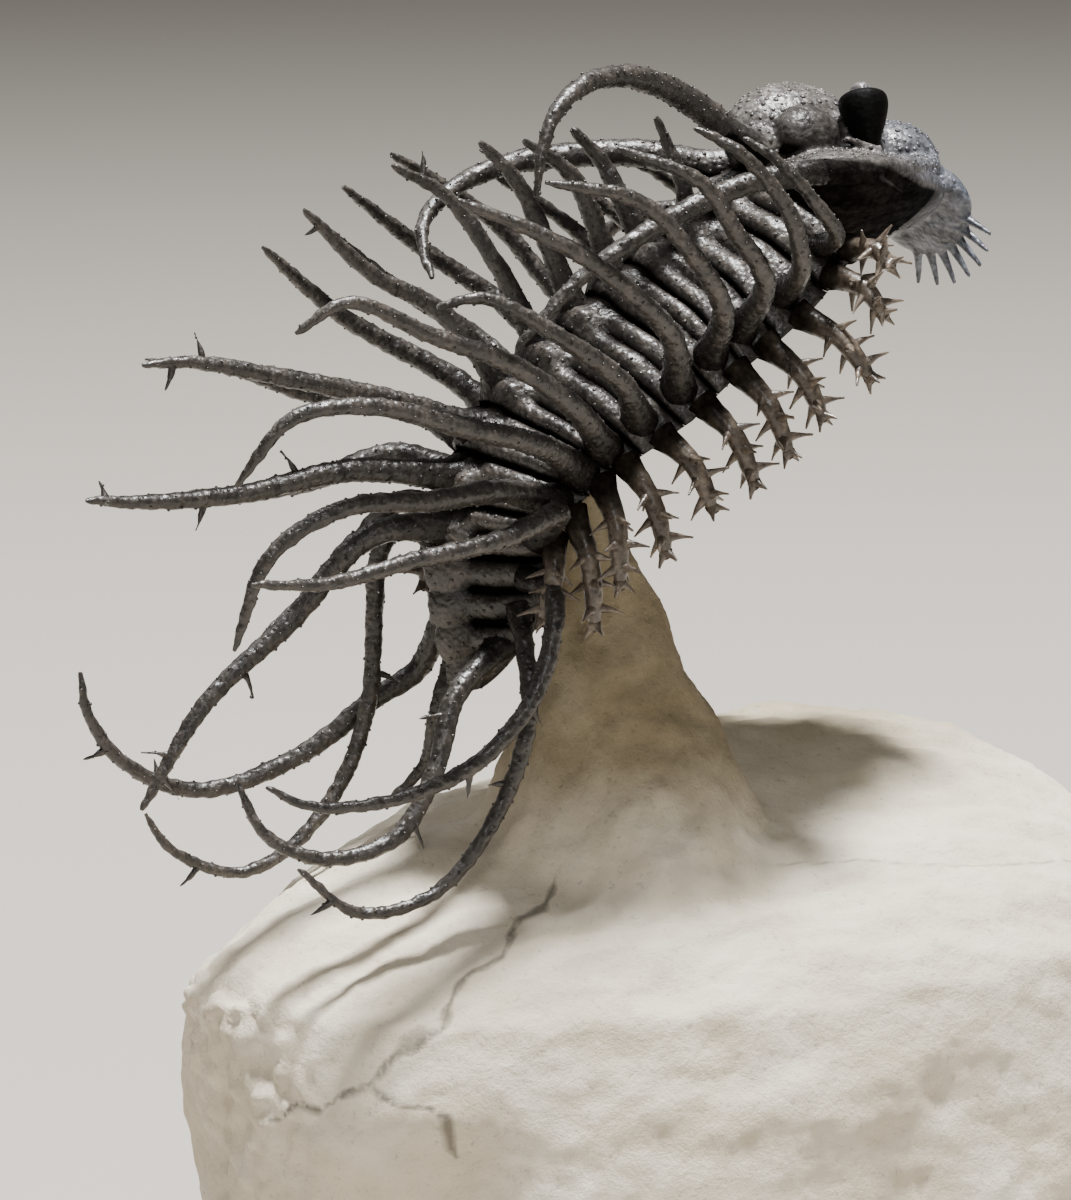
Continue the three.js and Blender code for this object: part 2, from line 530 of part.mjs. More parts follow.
for (const [name, side] of [['right', -1], ['left', 1]]) {
  const horn = curveThrough(HORN_HALF.map(([x, y, z]) => headPoint([x, side * y, z])));
  const hornTaper = (share) => (1 - SPINE_TAPER * share) * Math.sqrt(1 - share ** 3);
  const hornThickness = (share) => SPINE_TIP + HORN_ROOT * hornTaper(share);
  const hornStart = HORN_CUT + JOINT_GAP / horn.getLength();
  headParts.push(toSolid(taper(horn, hornThickness, { to: HORN_CUT, steps: 1 })));
  addPiece(`${name}_horn`, toSolid(taper(horn, hornThickness, { from: hornStart, steps: 11 })), STONE_GREY);

  const rimEnd = rimCurve.getPointAt(side < 0 ? 0 : 1);
  const outward = rimCurve.getTangentAt(side < 0 ? 0 : 1).multiplyScalar(side);
  const corner = rimEnd.clone().addScaledVector(outward, JOINT_GAP);
  const straightOn = rimEnd.clone().addScaledVector(outward, JOINT_GAP + CHEEK_SPINE_STRAIGHT);
  const places = side < 0 ? CHEEK_SPINE_RIGHT : CHEEK_SPINE_LEFT;
  const cheek = curveThrough([corner, straightOn, ...places]);
  const cheekThickness = spineThickness(RIM_RADIUS);
  seats.push(toSolid(taper(cheek, (share) => cheekThickness(share) + JOINT_GAP, CHEEK_SHAPE)));
  addPiece(`${name}_cheek_spine`, toSolid(taper(cheek, cheekThickness, CHEEK_SHAPE)), STONE_GREY);
}

// Eyes: short cones standing on their narrow end, each with a small knob
const EYE = { x: 6.8, y: 5.9, base: -2.1 };
const EYE_PROFILE = [
  [0, 0], [0.75, 0], [1.25, 1.5], [1.75, 3], [1.7, 3.7], [0.95, 4], [0.75, 4.6], [0, 4.9],
];
const EYE_SEAT = [[0, -0.3], [1.15, -0.3], [1.7, 1.6], [2.15, 2.8], [2.15, 5.2], [0, 5.2]];
for (const [name, side] of [['right', -1], ['left', 1]]) {
  const [turret, seat] = [EYE_PROFILE, EYE_SEAT].map((profile) => (
    inHead(new THREE.LatheGeometry(profile.map(([r, z]) => new THREE.Vector2(r, z)), 8)
      .rotateX(Math.PI / 2).translate(EYE.x, side * EYE.y, EYE.base))));
  addPiece(`${name}_eye`, turret, EYE_GREY);
  seats.push(seat);
}
addPiece('head_shield', largest(join(headParts).subtract(neckEnvelope).subtract(join(seats))), STONE_GREY);

// Limestone block: rings from the sawn base to the domed top, and the stalk under the body
const BLOCK_RINGS = [
  { z: 0, long: 41, deep: 25, x: -0.7, y: 0 },
  { z: 8, long: 42.5, deep: 26, x: -2.4, y: 0 },
  { z: 18, long: 42.5, deep: 25.5, x: -3.5, y: 0.5 },
  { z: 24, long: 40.5, deep: 24, x: -4, y: 1 },
  { z: 28.5, long: 35, deep: 20.5, x: -2.2, y: 2.5 },
  { z: 32.5, long: 27.5, deep: 15.5, x: 1.5, y: 5.5 },
  { z: 35.8, long: 16.5, deep: 9, x: 7.5, y: 8.5 },
  { z: 37.5, long: 7, deep: 4, x: 10, y: 9.5 },
];
const BLOCK_SIDES = 20;
function block() {
  const levels = BLOCK_RINGS.length - 1;
  const drum = new THREE.CylinderGeometry(1, 1, 1, BLOCK_SIDES, levels).rotateX(Math.PI / 2);
  return toSolid(reshape(drum, (corner) => {
    const ring = BLOCK_RINGS[Math.round((corner.z + 0.5) * levels)];
    const angle = Math.atan2(corner.y, corner.x);
    const reach = Math.hypot(corner.x, corner.y);
    const lobes = 0.025 * Math.sin(3 * angle + ring.z * 0.15);
    const bumps = 0.015 * Math.sin(7 * angle - ring.z * 0.3);
    const uneven = 1 + lobes + bumps;
    return new THREE.Vector3(
      ring.x + ring.long * uneven * reach * Math.cos(angle),
      ring.y + ring.deep * uneven * reach * Math.sin(angle),
      ring.z);
  }));
}

const STALK = curveThrough([
  [-11, 0, 27], [-11.2, 0, 33], [-11.6, 0, 40], [-13, 0, 49], [-14.8, 0, 55], [-18.5, 0, 61.5],
]);
const STALK_FOOT = 15;
const STALK_TOP = 2.6;
const STALK_FLARE = 2.1;
const stalkThickness = (share) => STALK_TOP + (STALK_FOOT - STALK_TOP) * (1 - share) ** STALK_FLARE;
const stalk = toSolid(taper(STALK, stalkThickness, { sides: 12, steps: 6 }));
addPiece('limestone_block', largest(join([block(), stalk]).subtract(bodyEnvelope)), LIMESTONE);

export default part;
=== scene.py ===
# A spiny trilobite, freed from the stone over a block of limestone: its fine forms and its finishes.
# Places and sizes are in millimetres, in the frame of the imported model, and become metres in the meshes.
# Scales, depths and heights inside node trees are in metres.
import math

import bpy
import numpy as np
from mathutils import Matrix, Vector


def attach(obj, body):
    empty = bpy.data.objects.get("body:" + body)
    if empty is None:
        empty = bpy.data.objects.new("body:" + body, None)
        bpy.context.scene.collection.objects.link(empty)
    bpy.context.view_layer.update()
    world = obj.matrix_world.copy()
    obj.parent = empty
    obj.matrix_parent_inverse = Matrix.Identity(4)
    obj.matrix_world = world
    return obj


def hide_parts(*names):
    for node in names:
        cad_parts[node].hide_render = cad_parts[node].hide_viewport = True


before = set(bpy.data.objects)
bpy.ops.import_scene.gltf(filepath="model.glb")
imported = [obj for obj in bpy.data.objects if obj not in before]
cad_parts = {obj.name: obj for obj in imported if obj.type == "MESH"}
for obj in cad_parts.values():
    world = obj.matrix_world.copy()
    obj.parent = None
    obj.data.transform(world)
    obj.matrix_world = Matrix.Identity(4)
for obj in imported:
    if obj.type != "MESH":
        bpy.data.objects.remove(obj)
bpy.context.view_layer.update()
MM = 0.001

# Camera and stage

PHOTO_AZIMUTH = math.radians(-30)
PHOTO_ELEVATION = math.radians(10)
CAMERA_DISTANCE = 420
LOOK_AT = np.array([-18.0, 0.0, 50.0])
LENS = 176.4

towards_camera = np.array([
    math.sin(PHOTO_AZIMUTH) * math.cos(PHOTO_ELEVATION),
    -math.cos(PHOTO_AZIMUTH) * math.cos(PHOTO_ELEVATION),
    math.sin(PHOTO_ELEVATION),
])
camera_data = bpy.data.cameras.new("camera")
camera_data.lens = LENS
camera_data.clip_start = 0.01
camera = bpy.data.objects.new("camera", camera_data)
camera.location = Vector((LOOK_AT + towards_camera * CAMERA_DISTANCE) * MM)
camera.rotation_euler = Vector(-towards_camera).to_track_quat("-Z", "Y").to_euler()
bpy.context.scene.collection.objects.link(camera)
bpy.context.scene.camera = camera


def linear(hex_colour):
    """Linear colour from an sRGB hex value."""
    parts = [int(hex_colour[i:i + 2], 16) / 255 for i in (1, 3, 5)]
    return [p / 12.92 if p <= 0.04045 else ((p + 0.055) / 1.055) ** 2.4 for p in parts] + [1.0]


def add(tree, kind, inputs=None, **settings):
    """Adds a node with its settings, and sets or links its inputs, given by name or by number."""
    made = tree.nodes.new(kind)
    for name, value in settings.items():
        setattr(made, name, value)
    for key, value in (inputs or {}).items():
        socket = made.inputs[key]
        if isinstance(value, bpy.types.NodeSocket):
            tree.links.new(value, socket)
        else:
            socket.default_value = value
    return made


def maths(tree, operation, first, second):
    return add(tree, "ShaderNodeMath", {0: first, 1: second}, operation=operation).outputs[0]


def scaled(tree, vector, factor):
    return add(tree, "ShaderNodeVectorMath", {0: vector, "Scale": factor}, operation="SCALE").outputs[0]


def mapped(tree, value, start, end, low=0.0, high=1.0):
    """Takes the values from start to end evenly to those from low to high, and stops there."""
    changed = add(tree, "ShaderNodeMapRange", {
        "Value": value, "From Min": start, "From Max": end, "To Min": low, "To Max": high})
    return changed.outputs["Result"]


def along_axis(tree, place, axis):
    return add(tree, "ShaderNodeSeparateXYZ", {0: place}).outputs[axis]


def noise(tree, place, scale, detail, roughness=0.5):
    return add(tree, "ShaderNodeTexNoise", {
        "Vector": place, "Scale": scale, "Detail": detail, "Roughness": roughness}).outputs["Fac"]


# Finishes

def new_material(name):
    material = bpy.data.materials.new(name)
    material.use_nodes = True
    material.node_tree.nodes.clear()
    return material, material.node_tree


def finish_material(tree, shader_inputs):
    shader = add(tree, "ShaderNodeBsdfPrincipled", shader_inputs)
    add(tree, "ShaderNodeOutputMaterial", {"Surface": shader.outputs["BSDF"]})


def colour_steps(tree, factor, stops, colours):
    """Colour ramp with sRGB hex colours at its stops."""
    ramp = add(tree, "ShaderNodeValToRGB", {"Fac": factor})
    elements = ramp.color_ramp.elements
    while len(elements) < len(stops):
        elements.new(0.5)
    for element, stop, colour in zip(elements, stops, colours):
        element.position = stop
        element.color = linear(colour)
    return ramp.outputs["Color"]


def blended(tree, factor, first, second):
    """Colour between two others."""
    return add(tree, "ShaderNodeMix", {"Factor": factor, 6: first, 7: second}, data_type="RGBA").outputs[2]


def surface_attribute(tree, name):
    return add(tree, "ShaderNodeAttribute", attribute_name=name).outputs["Fac"]


def two_bumps(tree, coarse, fine):
    """Normal of a surface with two reliefs, each (height, strength, depth, whether it is hollow)."""
    normal = None
    for height, strength, depth, hollow in (coarse, fine):
        inputs = {"Height": height, "Strength": strength, "Distance": depth}
        if normal is not None:
            inputs["Normal"] = normal
        normal = add(tree, "ShaderNodeBump", inputs, invert=hollow).outputs["Normal"]
    return normal


CALCITE_STOPS = (0.33, 0.5, 0.7)
SNOUT_START, SNOUT_END = 0.006, 0.016


def fossil_calcite(name, warm, cool, roughness, depth):
    """Waxed calcite of a freed fossil: fine grains, darker between them as painted shade, small sharp
    highlights.

    warm and cool are (dark, middle, light) tones; the cool ones take over towards the snout. The tone
    attribute, from -1 to 1, darkens and dulls where it is low, which is painted shade in hollows, under the
    shells and head and at the roots of spines, and lightens where it is high, which is wear on crests and
    painted light on crests, the crown and the eyes' knobs.
    """
    material, tree = new_material(name)
    place = add(tree, "ShaderNodeTexCoord").outputs["Object"]
    cloud = noise(tree, place, scale=800.0, detail=6.0, roughness=0.65)
    fine = noise(tree, place, scale=3200.0, detail=3.0)
    grains = add(tree, "ShaderNodeTexVoronoi", {"Vector": place, "Scale": 2400.0}, feature="SMOOTH_F1")
    between = grains.outputs["Distance"]
    tones = [colour_steps(tree, cloud, CALCITE_STOPS, colours) for colours in (warm, cool)]
    ahead = mapped(tree, along_axis(tree, place, "X"), SNOUT_START, SNOUT_END)
    # Painted shade: the colour darkens in the gaps between the grains
    painted_shade_between_grains = mapped(tree, between, 0.2, 0.62, low=1.0, high=0.6)
    # Low tone paints shade; high tone paints light, together with wear on crests
    painted_shade_light_and_rubbing = surface_attribute(tree, "tone")
    painted_shade_light_and_rubbing_factor = mapped(tree, painted_shade_light_and_rubbing, -1.0, 1.0, low=0.08, high=1.85)
    polish = mapped(tree, painted_shade_light_and_rubbing, -0.9, 0.0, low=0.0, high=0.5)
    gloss = mapped(tree, fine, 0.3, 0.7, low=roughness - 0.1, high=roughness + 0.14)
    finish_material(tree, {
        "Base Color": scaled(tree, blended(tree, ahead, *tones), maths(tree, "MULTIPLY", painted_shade_between_grains, painted_shade_light_and_rubbing_factor)),
        "Roughness": gloss, "Specular IOR Level": polish, "IOR": 1.56,
        "Normal": two_bumps(tree, (between, 0.6, depth, True), (fine, 0.45, depth, False))})
    return material


# Dark grey-brown calcite with a wax shine on body, spines and cheeks, cooler and paler towards the snout
STONE = fossil_calcite(
    "waxed grey-brown calcite", ("#211e1c", "#36312d", "#4d4741"), ("#26262a", "#424348", "#65666c"),
    roughness=0.36, depth=0.00016)
# The short side spines are thin enough to glow a little: a paler horn brown
THIN_STONE = fossil_calcite(
    "thin horn-brown calcite", ("#3a322b", "#584d42", "#7c7163"), ("#3a322b", "#584d42", "#7c7163"),
    roughness=0.32, depth=0.00008)
# The fan and the lumps of the head catch more light: pale blue-grey
HEAD_STONE = fossil_calcite(
    "waxed blue-grey calcite", ("#353130", "#524d49", "#78726d"), ("#383a41", "#5a5e68", "#8a8f9b"),
    roughness=0.36, depth=0.00016)
# The eyes are nearly black and duller
EYE_STONE = fossil_calcite(
    "dull black calcite", ("#0f0d0d", "#161413", "#211e1d"), ("#0f0d0d", "#161413", "#211e1d"),
    roughness=0.55, depth=0.00006)

LIMESTONE_STOPS = (0.32, 0.5, 0.68)
CREAM = ("#d3c6ad", "#ddd1bb", "#e8dfcc")
# Up the stalk the stone is a little darker, and painted darker still as the shade under the body
TAN = ("#76694f", "#8d8066", "#a79b80")
TAN_START, TAN_END = 0.0325, 0.039
CRACK_EDGE, CRACK_END = 0.1, 0.45


def pale_limestone(name):
    """Cream limestone, freed with fine abrasive: matt and powdery, a darker tan up the stalk that is partly
    its own colour and partly painted shade, with dark cracks.
    """
    material, tree = new_material(name)
    place = add(tree, "ShaderNodeTexCoord").outputs["Object"]
    mottle = noise(tree, place, scale=110.0, detail=7.0, roughness=0.7)
    grain = noise(tree, place, scale=1500.0, detail=5.0, roughness=0.75)
    cream, tan = [colour_steps(tree, mottle, LIMESTONE_STOPS, colours) for colours in (CREAM, TAN)]
    raised = mapped(tree, along_axis(tree, place, "Z"), TAN_START, TAN_END)
    off_crack = mapped(tree, surface_attribute(tree, "crack"), CRACK_EDGE, CRACK_END, low=0.35)
    off_speck = mapped(tree, grain, 0.3, 0.42, low=0.66)
    finish_material(tree, {
        "Base Color": scaled(
            tree, blended(tree, raised, cream, tan), maths(tree, "MULTIPLY", off_crack, off_speck)),
        "Roughness": 0.93, "IOR": 1.5,
        "Normal": two_bumps(tree, (mottle, 0.5, 0.0008, False), (grain, 0.6, 0.0003, False))})
    return material


LIMESTONE = pale_limestone("pale abraded limestone")


# Curves and the frame of the body

def smooth_path(places, count):
    """Evenly spaced points of a smooth curve through the places."""
    p = np.array(places, float)
    p = np.vstack([2 * p[0] - p[1], p, 2 * p[-1] - p[-2]])
    dense = []
    for a, b, c, d in zip(p[:-3], p[1:-2], p[2:-1], p[3:]):
        gaps = [math.sqrt(np.linalg.norm(v)) for v in (b - a, c - b, d - c)]
        start = ((b - a) / gaps[0] - (c - a) / (gaps[0] + gaps[1]) + (c - b) / gaps[1]) * gaps[1]
        end = ((c - b) / gaps[1] - (d - b) / (gaps[1] + gaps[2]) + (d - c) / gaps[2]) * gaps[1]
        t = np.linspace(0, 1, 60, endpoint=False)[:, None]
        dense.append(
            b + start * t + (3 * (c - b) - 2 * start - end) * t ** 2 + (2 * (b - c) + start + end) * t ** 3)
    dense = np.vstack(dense + [p[-2:-1]])
    walked = np.concatenate([[0], np.cumsum(np.linalg.norm(np.diff(dense, axis=0), axis=1))])
    even = np.linspace(0, walked[-1], count)
    return np.stack([np.interp(even, walked, dense[:, i]) for i in range(3)], 1)


def path_length(path):
    return np.linalg.norm(np.diff(path, axis=0), axis=1).sum()


MIDLINE = smooth_path([
    (0, 1.8, 81.6), (-4.9, 0.9, 77.4), (-11.5, 0.2, 73.8), (-17.4, 0, 69.4), (-22.6, 0, 64.6),
    (-25.4, 0, 59), (-25.9, 0, 53.5), (-24.9, 0, 47.5), (-22, 0, 40.5)], 400)
MIDLINE_LENGTH = path_length(MIDLINE)
MIDLINE_WAY = np.gradient(MIDLINE, axis=0)
MIDLINE_WAY /= np.linalg.norm(MIDLINE_WAY, axis=1)[:, None]

SEGMENTS = 10
SEGMENT_LENGTH = 3.8
FIRST_SEGMENT = 1.7
TAIL_START = FIRST_SEGMENT + SEGMENTS * SEGMENT_LENGTH
TAIL_LENGTH = 10.6
SHELL = 1.4

# Half width, drop to the margin and roll of the body along the midline
STATION_AT = [0, 10, 20, 30, 39, 46, 51]
STATION_HALF = [8.2, 8.8, 9.0, 8.6, 7.4, 5.8, 3.0]
STATION_DROP = [9.4, 9.8, 9.4, 7.2, 4.8, 4.0, 2.6]
STATION_ROLL = [14, 10, 5, 1, 0, 0, 0]
PROFILE_SIDE = [0, 0.2, 0.36, 0.68, 0.88, 1]
PROFILE_FALL = [0, -0.05, -0.25, -0.44, -0.74, -1]
EVEN_SIDES = np.linspace(0, 1, 101)
ROUNDED_FALL = np.convolve(
    np.pad(np.interp(EVEN_SIDES, PROFILE_SIDE, PROFILE_FALL), 4, mode="edge"), np.ones(9) / 9, "valid")
ROUNDED_FALL[-5:] = np.interp(EVEN_SIDES[-5:], PROFILE_SIDE, PROFILE_FALL)


def along_midline(table, distance):
    share = np.clip(np.asarray(distance, float) / MIDLINE_LENGTH, 0, 1) * (len(table) - 1)
    return np.stack([np.interp(share, np.arange(len(table)), table[:, i]) for i in range(3)], -1)


def on_body(distance, share, height):
    """Points of the body: distance along the midline, share of the half width, height over the midline."""
    distance, share, height = np.broadcast_arrays(*map(np.asarray, (distance, share, height)))
    way = along_midline(MIDLINE_WAY, distance)
    roll = np.radians(np.interp(distance, STATION_AT, STATION_ROLL))[..., None]
    upright = np.stack([way[..., 2], 0 * share, -way[..., 0]], -1)
    leftward = np.array([0.0, 1.0, 0.0])
    left = leftward * np.cos(roll) - upright * np.sin(roll)
    back = upright * np.cos(roll) + leftward * np.sin(roll)
    half = np.interp(distance, STATION_AT, STATION_HALF)
    return along_midline(MIDLINE, distance) + left * (share * half)[..., None] + back * height[..., None]


def shell_height(distance, share):
    drop = np.interp(distance, STATION_AT, STATION_DROP)
    return np.interp(np.abs(share), EVEN_SIDES, ROUNDED_FALL) * drop


def segment_middle(number):
    return FIRST_SEGMENT + (number - 0.5) * SEGMENT_LENGTH


# Meshes

def give_attribute(mesh, name, values):
    """One number for each point of a mesh."""
    made = mesh.attributes.new(name, "FLOAT", "POINT")
    made.data.foreach_set("value", np.asarray(values, np.float32))


def put_in_scene(name, data):
    placed = bpy.data.objects.new(name, data)
    bpy.context.scene.collection.objects.link(placed)
    return placed


def new_piece(name, points, faces, material, attributes=None):
    """Mesh object at the origin from points in millimetres."""
    mesh = bpy.data.meshes.new(name)
    mesh.from_pydata((np.asarray(points) * MM).tolist(), [], [list(map(int, f)) for f in faces])
    for key, values in (attributes or {}).items():
        give_attribute(mesh, key, values)
    mesh.materials.append(material)
    return put_in_scene(name, mesh)


def shade_smooth(piece):
    piece.data.polygons.foreach_set("use_smooth", [True] * len(piece.data.polygons))


def apply_modifiers(piece):
    """Leaves a plain mesh of what the modifiers make."""
    graph = bpy.context.evaluated_depsgraph_get()
    graph.update()
    mesh = bpy.data.meshes.new_from_object(piece.evaluated_get(graph), depsgraph=graph)
    for slot in reversed(range(len(mesh.materials))):
        if mesh.materials[slot] is None:
            mesh.materials.pop(index=slot)
    piece.modifiers.clear()
    old = piece.data
    piece.data = mesh
    bpy.data.meshes.remove(old)
    shade_smooth(piece)


def set_input(modifier, name, value):
    sockets = modifier.node_group.interface.items_tree
    identifier = next(s.identifier for s in sockets if s.name == name and s.in_out == "INPUT")
    modifier[identifier] = value


def baked(piece, tree, **inputs):
    """Runs a Geometry Nodes tree on a piece."""
    modifier = piece.modifiers.new(tree.name, "NODES")
    modifier.node_group = tree
    for key, value in inputs.items():
        set_input(modifier, key.replace("_", " "), value)
    apply_modifiers(piece)
    return piece


def new_tree(name, inputs):
    """Empty Geometry Nodes tree with named inputs: (name, kind, value)."""
    tree = bpy.data.node_groups.new(name, "GeometryNodeTree")
    tree.is_modifier = True
    tree.interface.new_socket("Geometry", in_out="INPUT", socket_type="NodeSocketGeometry")
    for label, kind, value in inputs:
        socket = tree.interface.new_socket(label, in_out="INPUT", socket_type=kind)
        if value is not None:
            socket.default_value = value
    tree.interface.new_socket("Geometry", in_out="OUTPUT", socket_type="NodeSocketGeometry")
    return tree, add(tree, "NodeGroupInput").outputs


def close_tree(tree, geometry, material):
    """Ends a tree with real geometry and one finish."""
    real = add(tree, "GeometryNodeRealizeInstances", {"Geometry": geometry})
    coated = add(tree, "GeometryNodeSetMaterial", {"Geometry": real.outputs[0], "Material": material})
    add(tree, "NodeGroupOutput", {0: coated.outputs[0]})
    return tree


def mesh_attribute(tree, name):
    made = add(tree, "GeometryNodeInputNamedAttribute", {"Name": name}, data_type="FLOAT")
    return made.outputs["Attribute"]


def push_out(tree, geometry, amount):
    """Moves each point along its normal."""
    normal = add(tree, "GeometryNodeInputNormal").outputs[0]
    moved = add(tree, "GeometryNodeSetPosition", {
        "Geometry": geometry, "Offset": scaled(tree, normal, amount)})
    return moved.outputs[0]


LUMP_MIDDLE = 0.45


def rod_tree():
    """Round lumpy rods along the edges of a wire mesh, as thick as its thickness attribute says."""
    tree, given = new_tree("stone rods", [
        ("Sides", "NodeSocketInt", 12), ("Step", "NodeSocketFloat", 0.0003),
        ("Lump Height", "NodeSocketFloat", 0.0002), ("Lump Scale", "NodeSocketFloat", 900.0),
        ("Material", "NodeSocketMaterial", None)])
    curve = add(tree, "GeometryNodeMeshToCurve", {"Mesh": given["Geometry"]})
    even = add(tree, "GeometryNodeResampleCurve", {
        "Curve": curve.outputs[0], "Length": given["Step"]}, mode="LENGTH")
    ring = add(tree, "GeometryNodeCurvePrimitiveCircle", {"Resolution": given["Sides"], "Radius": 1.0})
    rod = add(tree, "GeometryNodeCurveToMesh", {
        "Curve": even.outputs[0], "Profile Curve": ring.outputs["Curve"],
        "Scale": mesh_attribute(tree, "thickness"), "Fill Caps": True})
    lumps = add(tree, "ShaderNodeTexVoronoi", {"Scale": given["Lump Scale"]}, feature="F1")
    uneven = maths(tree, "SUBTRACT", LUMP_MIDDLE, lumps.outputs["Distance"])
    rough = push_out(tree, rod.outputs[0], maths(tree, "MULTIPLY", uneven, given["Lump Height"]))
    marked = add(tree, "GeometryNodeStoreNamedAttribute", {
        "Geometry": rough, "Name": "bumpy", "Value": 1.0}, data_type="FLOAT", domain="POINT")
    return close_tree(tree, marked.outputs[0], given["Material"])


def tubercle_tree():
    """Scatters small domes over a mesh where its bumpy attribute is high."""
    tree, given = new_tree("tubercles", [
        ("Spacing", "NodeSocketFloat", 0.0006), ("Smallest", "NodeSocketFloat", 0.00015),
        ("Largest", "NodeSocketFloat", 0.0003), ("Flatness", "NodeSocketFloat", 0.6),
        ("Seed", "NodeSocketInt", 1), ("Material", "NodeSocketMaterial", None)])
    scatter = add(tree, "GeometryNodeDistributePointsOnFaces", {
        "Mesh": given["Geometry"], "Distance Min": given["Spacing"], "Density Max": 6000000.0,
        "Density Factor": mesh_attribute(tree, "bumpy"), "Seed": given["Seed"]},
        distribute_method="POISSON")
    dome = add(tree, "GeometryNodeMeshUVSphere", {"Segments": 6, "Rings": 4, "Radius": 1.0})
    size = add(tree, "FunctionNodeRandomValue", {
        2: given["Smallest"], 3: given["Largest"], "Seed": given["Seed"]}, data_type="FLOAT").outputs[1]
    low = maths(tree, "MULTIPLY", size, given["Flatness"])
    shape = add(tree, "ShaderNodeCombineXYZ", {0: size, 1: size, 2: low})
    placed = add(tree, "GeometryNodeInstanceOnPoints", {
        "Points": scatter.outputs["Points"], "Instance": dome.outputs["Mesh"],
        "Rotation": scatter.outputs["Rotation"], "Scale": shape.outputs[0]})
    joined = add(tree, "GeometryNodeJoinGeometry")
    tree.links.new(placed.outputs[0], joined.inputs[0])
    tree.links.new(given["Geometry"], joined.inputs[0])
    return close_tree(tree, joined.outputs[0], given["Material"])


FLUTE_DIRECTION = (0.3, 1.0, 0.5)
HOLLOW_MIDDLE = 1.1
BASE_EDGE, BASE_END = 0.0004, 0.002


def rock_tree():
    """Weathers a stone: shallow hollows all over, deep chips where the ragged attribute is high."""
    tree, given = new_tree("weathered rock", [
        ("Depth", "NodeSocketFloat", 0.001), ("Chips", "NodeSocketFloat", 0.002),
        ("Material", "NodeSocketMaterial", None)])
    place = add(tree, "GeometryNodeInputPosition").outputs[0]
    drawn_out = add(tree, "ShaderNodeVectorMath", {0: place, 1: FLUTE_DIRECTION}, operation="MULTIPLY")
    broad = noise(tree, place, scale=120.0, detail=4.0, roughness=0.6)
    flutes = noise(tree, drawn_out.outputs[0], scale=330.0, detail=2.0)
    flakes = add(tree, "ShaderNodeTexVoronoi", {"Scale": 640.0}, feature="F1").outputs["Distance"]
    hollow = maths(tree, "SUBTRACT", maths(tree, "ADD", broad, flutes), HOLLOW_MIDDLE)
    shallow = maths(tree, "MULTIPLY", hollow, given["Depth"])
    chip = maths(tree, "MULTIPLY", flakes, given["Chips"])
    deep = maths(tree, "MULTIPLY", chip, mesh_attribute(tree, "ragged"))
    off_base = mapped(tree, along_axis(tree, place, "Z"), BASE_EDGE, BASE_END)
    amount = maths(tree, "MULTIPLY", maths(tree, "SUBTRACT", shallow, deep), off_base)
    return close_tree(tree, push_out(tree, given["Geometry"], amount), given["Material"])


RODS = rod_tree()
TUBERCLES = tubercle_tree()
ROCK = rock_tree()

pieces = {}


def keep(piece, *nodes, slot="fossil_stone"):
    """The finished piece stands for these nodes of the solid model."""
    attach(piece, "root")
    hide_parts(*nodes)
    pieces[piece.name] = piece


# Spines

def spine_radius(share, root, tip=0.14):
    taper = (1 - 0.75 * share + 0.25 * share ** 2) * np.sqrt(np.maximum(1 - share ** 6, 0))
    return tip + (0.93 * root - tip) * taper


LUMP_SCALE = 1300.0


def rods(name, ways, material, sides=14, lump=0.2, step=0.26):
    """Piece of several rods; each way is (points, radii, tones)."""
    points, radii, tones, edges = [], [], [], []
    for places, thickness, tone in ways:
        first = len(points)
        points += list(places)
        radii += list(thickness)
        tones += list(tone)
        edges += [(i, i + 1) for i in range(first, len(points) - 1)]
    mesh = bpy.data.meshes.new(name)
    mesh.from_pydata((np.array(points) * MM).tolist(), edges, [])
    give_attribute(mesh, "thickness", np.array(radii, np.float32) * MM)
    give_attribute(mesh, "tone", tones)
    return baked(
        put_in_scene(name, mesh), RODS, Sides=sides, Step=step * MM, Lump_Height=lump * MM,
        Lump_Scale=LUMP_SCALE, Material=material)


def granulated(piece, spacing, smallest, largest, seed, material, flatness=0.6):
    """Strews small tubercles over a piece."""
    return baked(
        piece, TUBERCLES, Spacing=spacing * MM, Smallest=smallest * MM, Largest=largest * MM,
        Flatness=flatness, Seed=seed, Material=material)


THORN_LENGTH = 1.5
THORN_POINTS = 7
SPINE_POINTS = 60


def thorn_ways(path, radii, thorns):
    """Curved thorns on a spine: (share of its length, turn about it in degrees, length)."""
    ways = []
    for share, turn, *rest in thorns:
        length = rest[0] if rest else THORN_LENGTH
        at = int(share * (len(path) - 1))
        way = path[min(at + 1, len(path) - 1)] - path[at - 1]
        way /= np.linalg.norm(way)
        side = np.cross((0, 1, 0), way)
        side /= np.linalg.norm(side)
        side = np.array(Matrix.Rotation(math.radians(turn), 3, Vector(way)) @ Vector(side))
        t = np.linspace(0, 1, THORN_POINTS)[:, None]
        reach = length + radii[at]
        points = path[at] + reach * (side * t + way * (0.15 * t + 0.25 * t ** 2))
        ways.append((points, 0.4 - 0.34 * t[:, 0] ** 0.7, 0.6 * t[:, 0]))
    return ways


def spine(node, places, root, thorns=(), foot=0.5, spread=1.0):
    """Long spine with a foot that spreads where it grows from the shell."""
    path = smooth_path(places, SPINE_POINTS)
    share = np.linspace(0, 1, SPINE_POINTS)
    length = path_length(path)
    radii = spine_radius(share, root) * (1 + foot * np.exp(-share * length / spread))
    # Painted shade at the root, where the spine leaves the shell; lighter towards the tip
    tones = np.interp(share * length, [0, 2, 5, length], [-0.8, -0.5, 0, 0.35])
    piece = rods("fine_" + node, [(path, radii, tones)] + thorn_ways(path, radii, thorns), STONE)
    keep(granulated(piece, 0.8, 0.06, 0.15, len(pieces), STONE, 0.9), node)


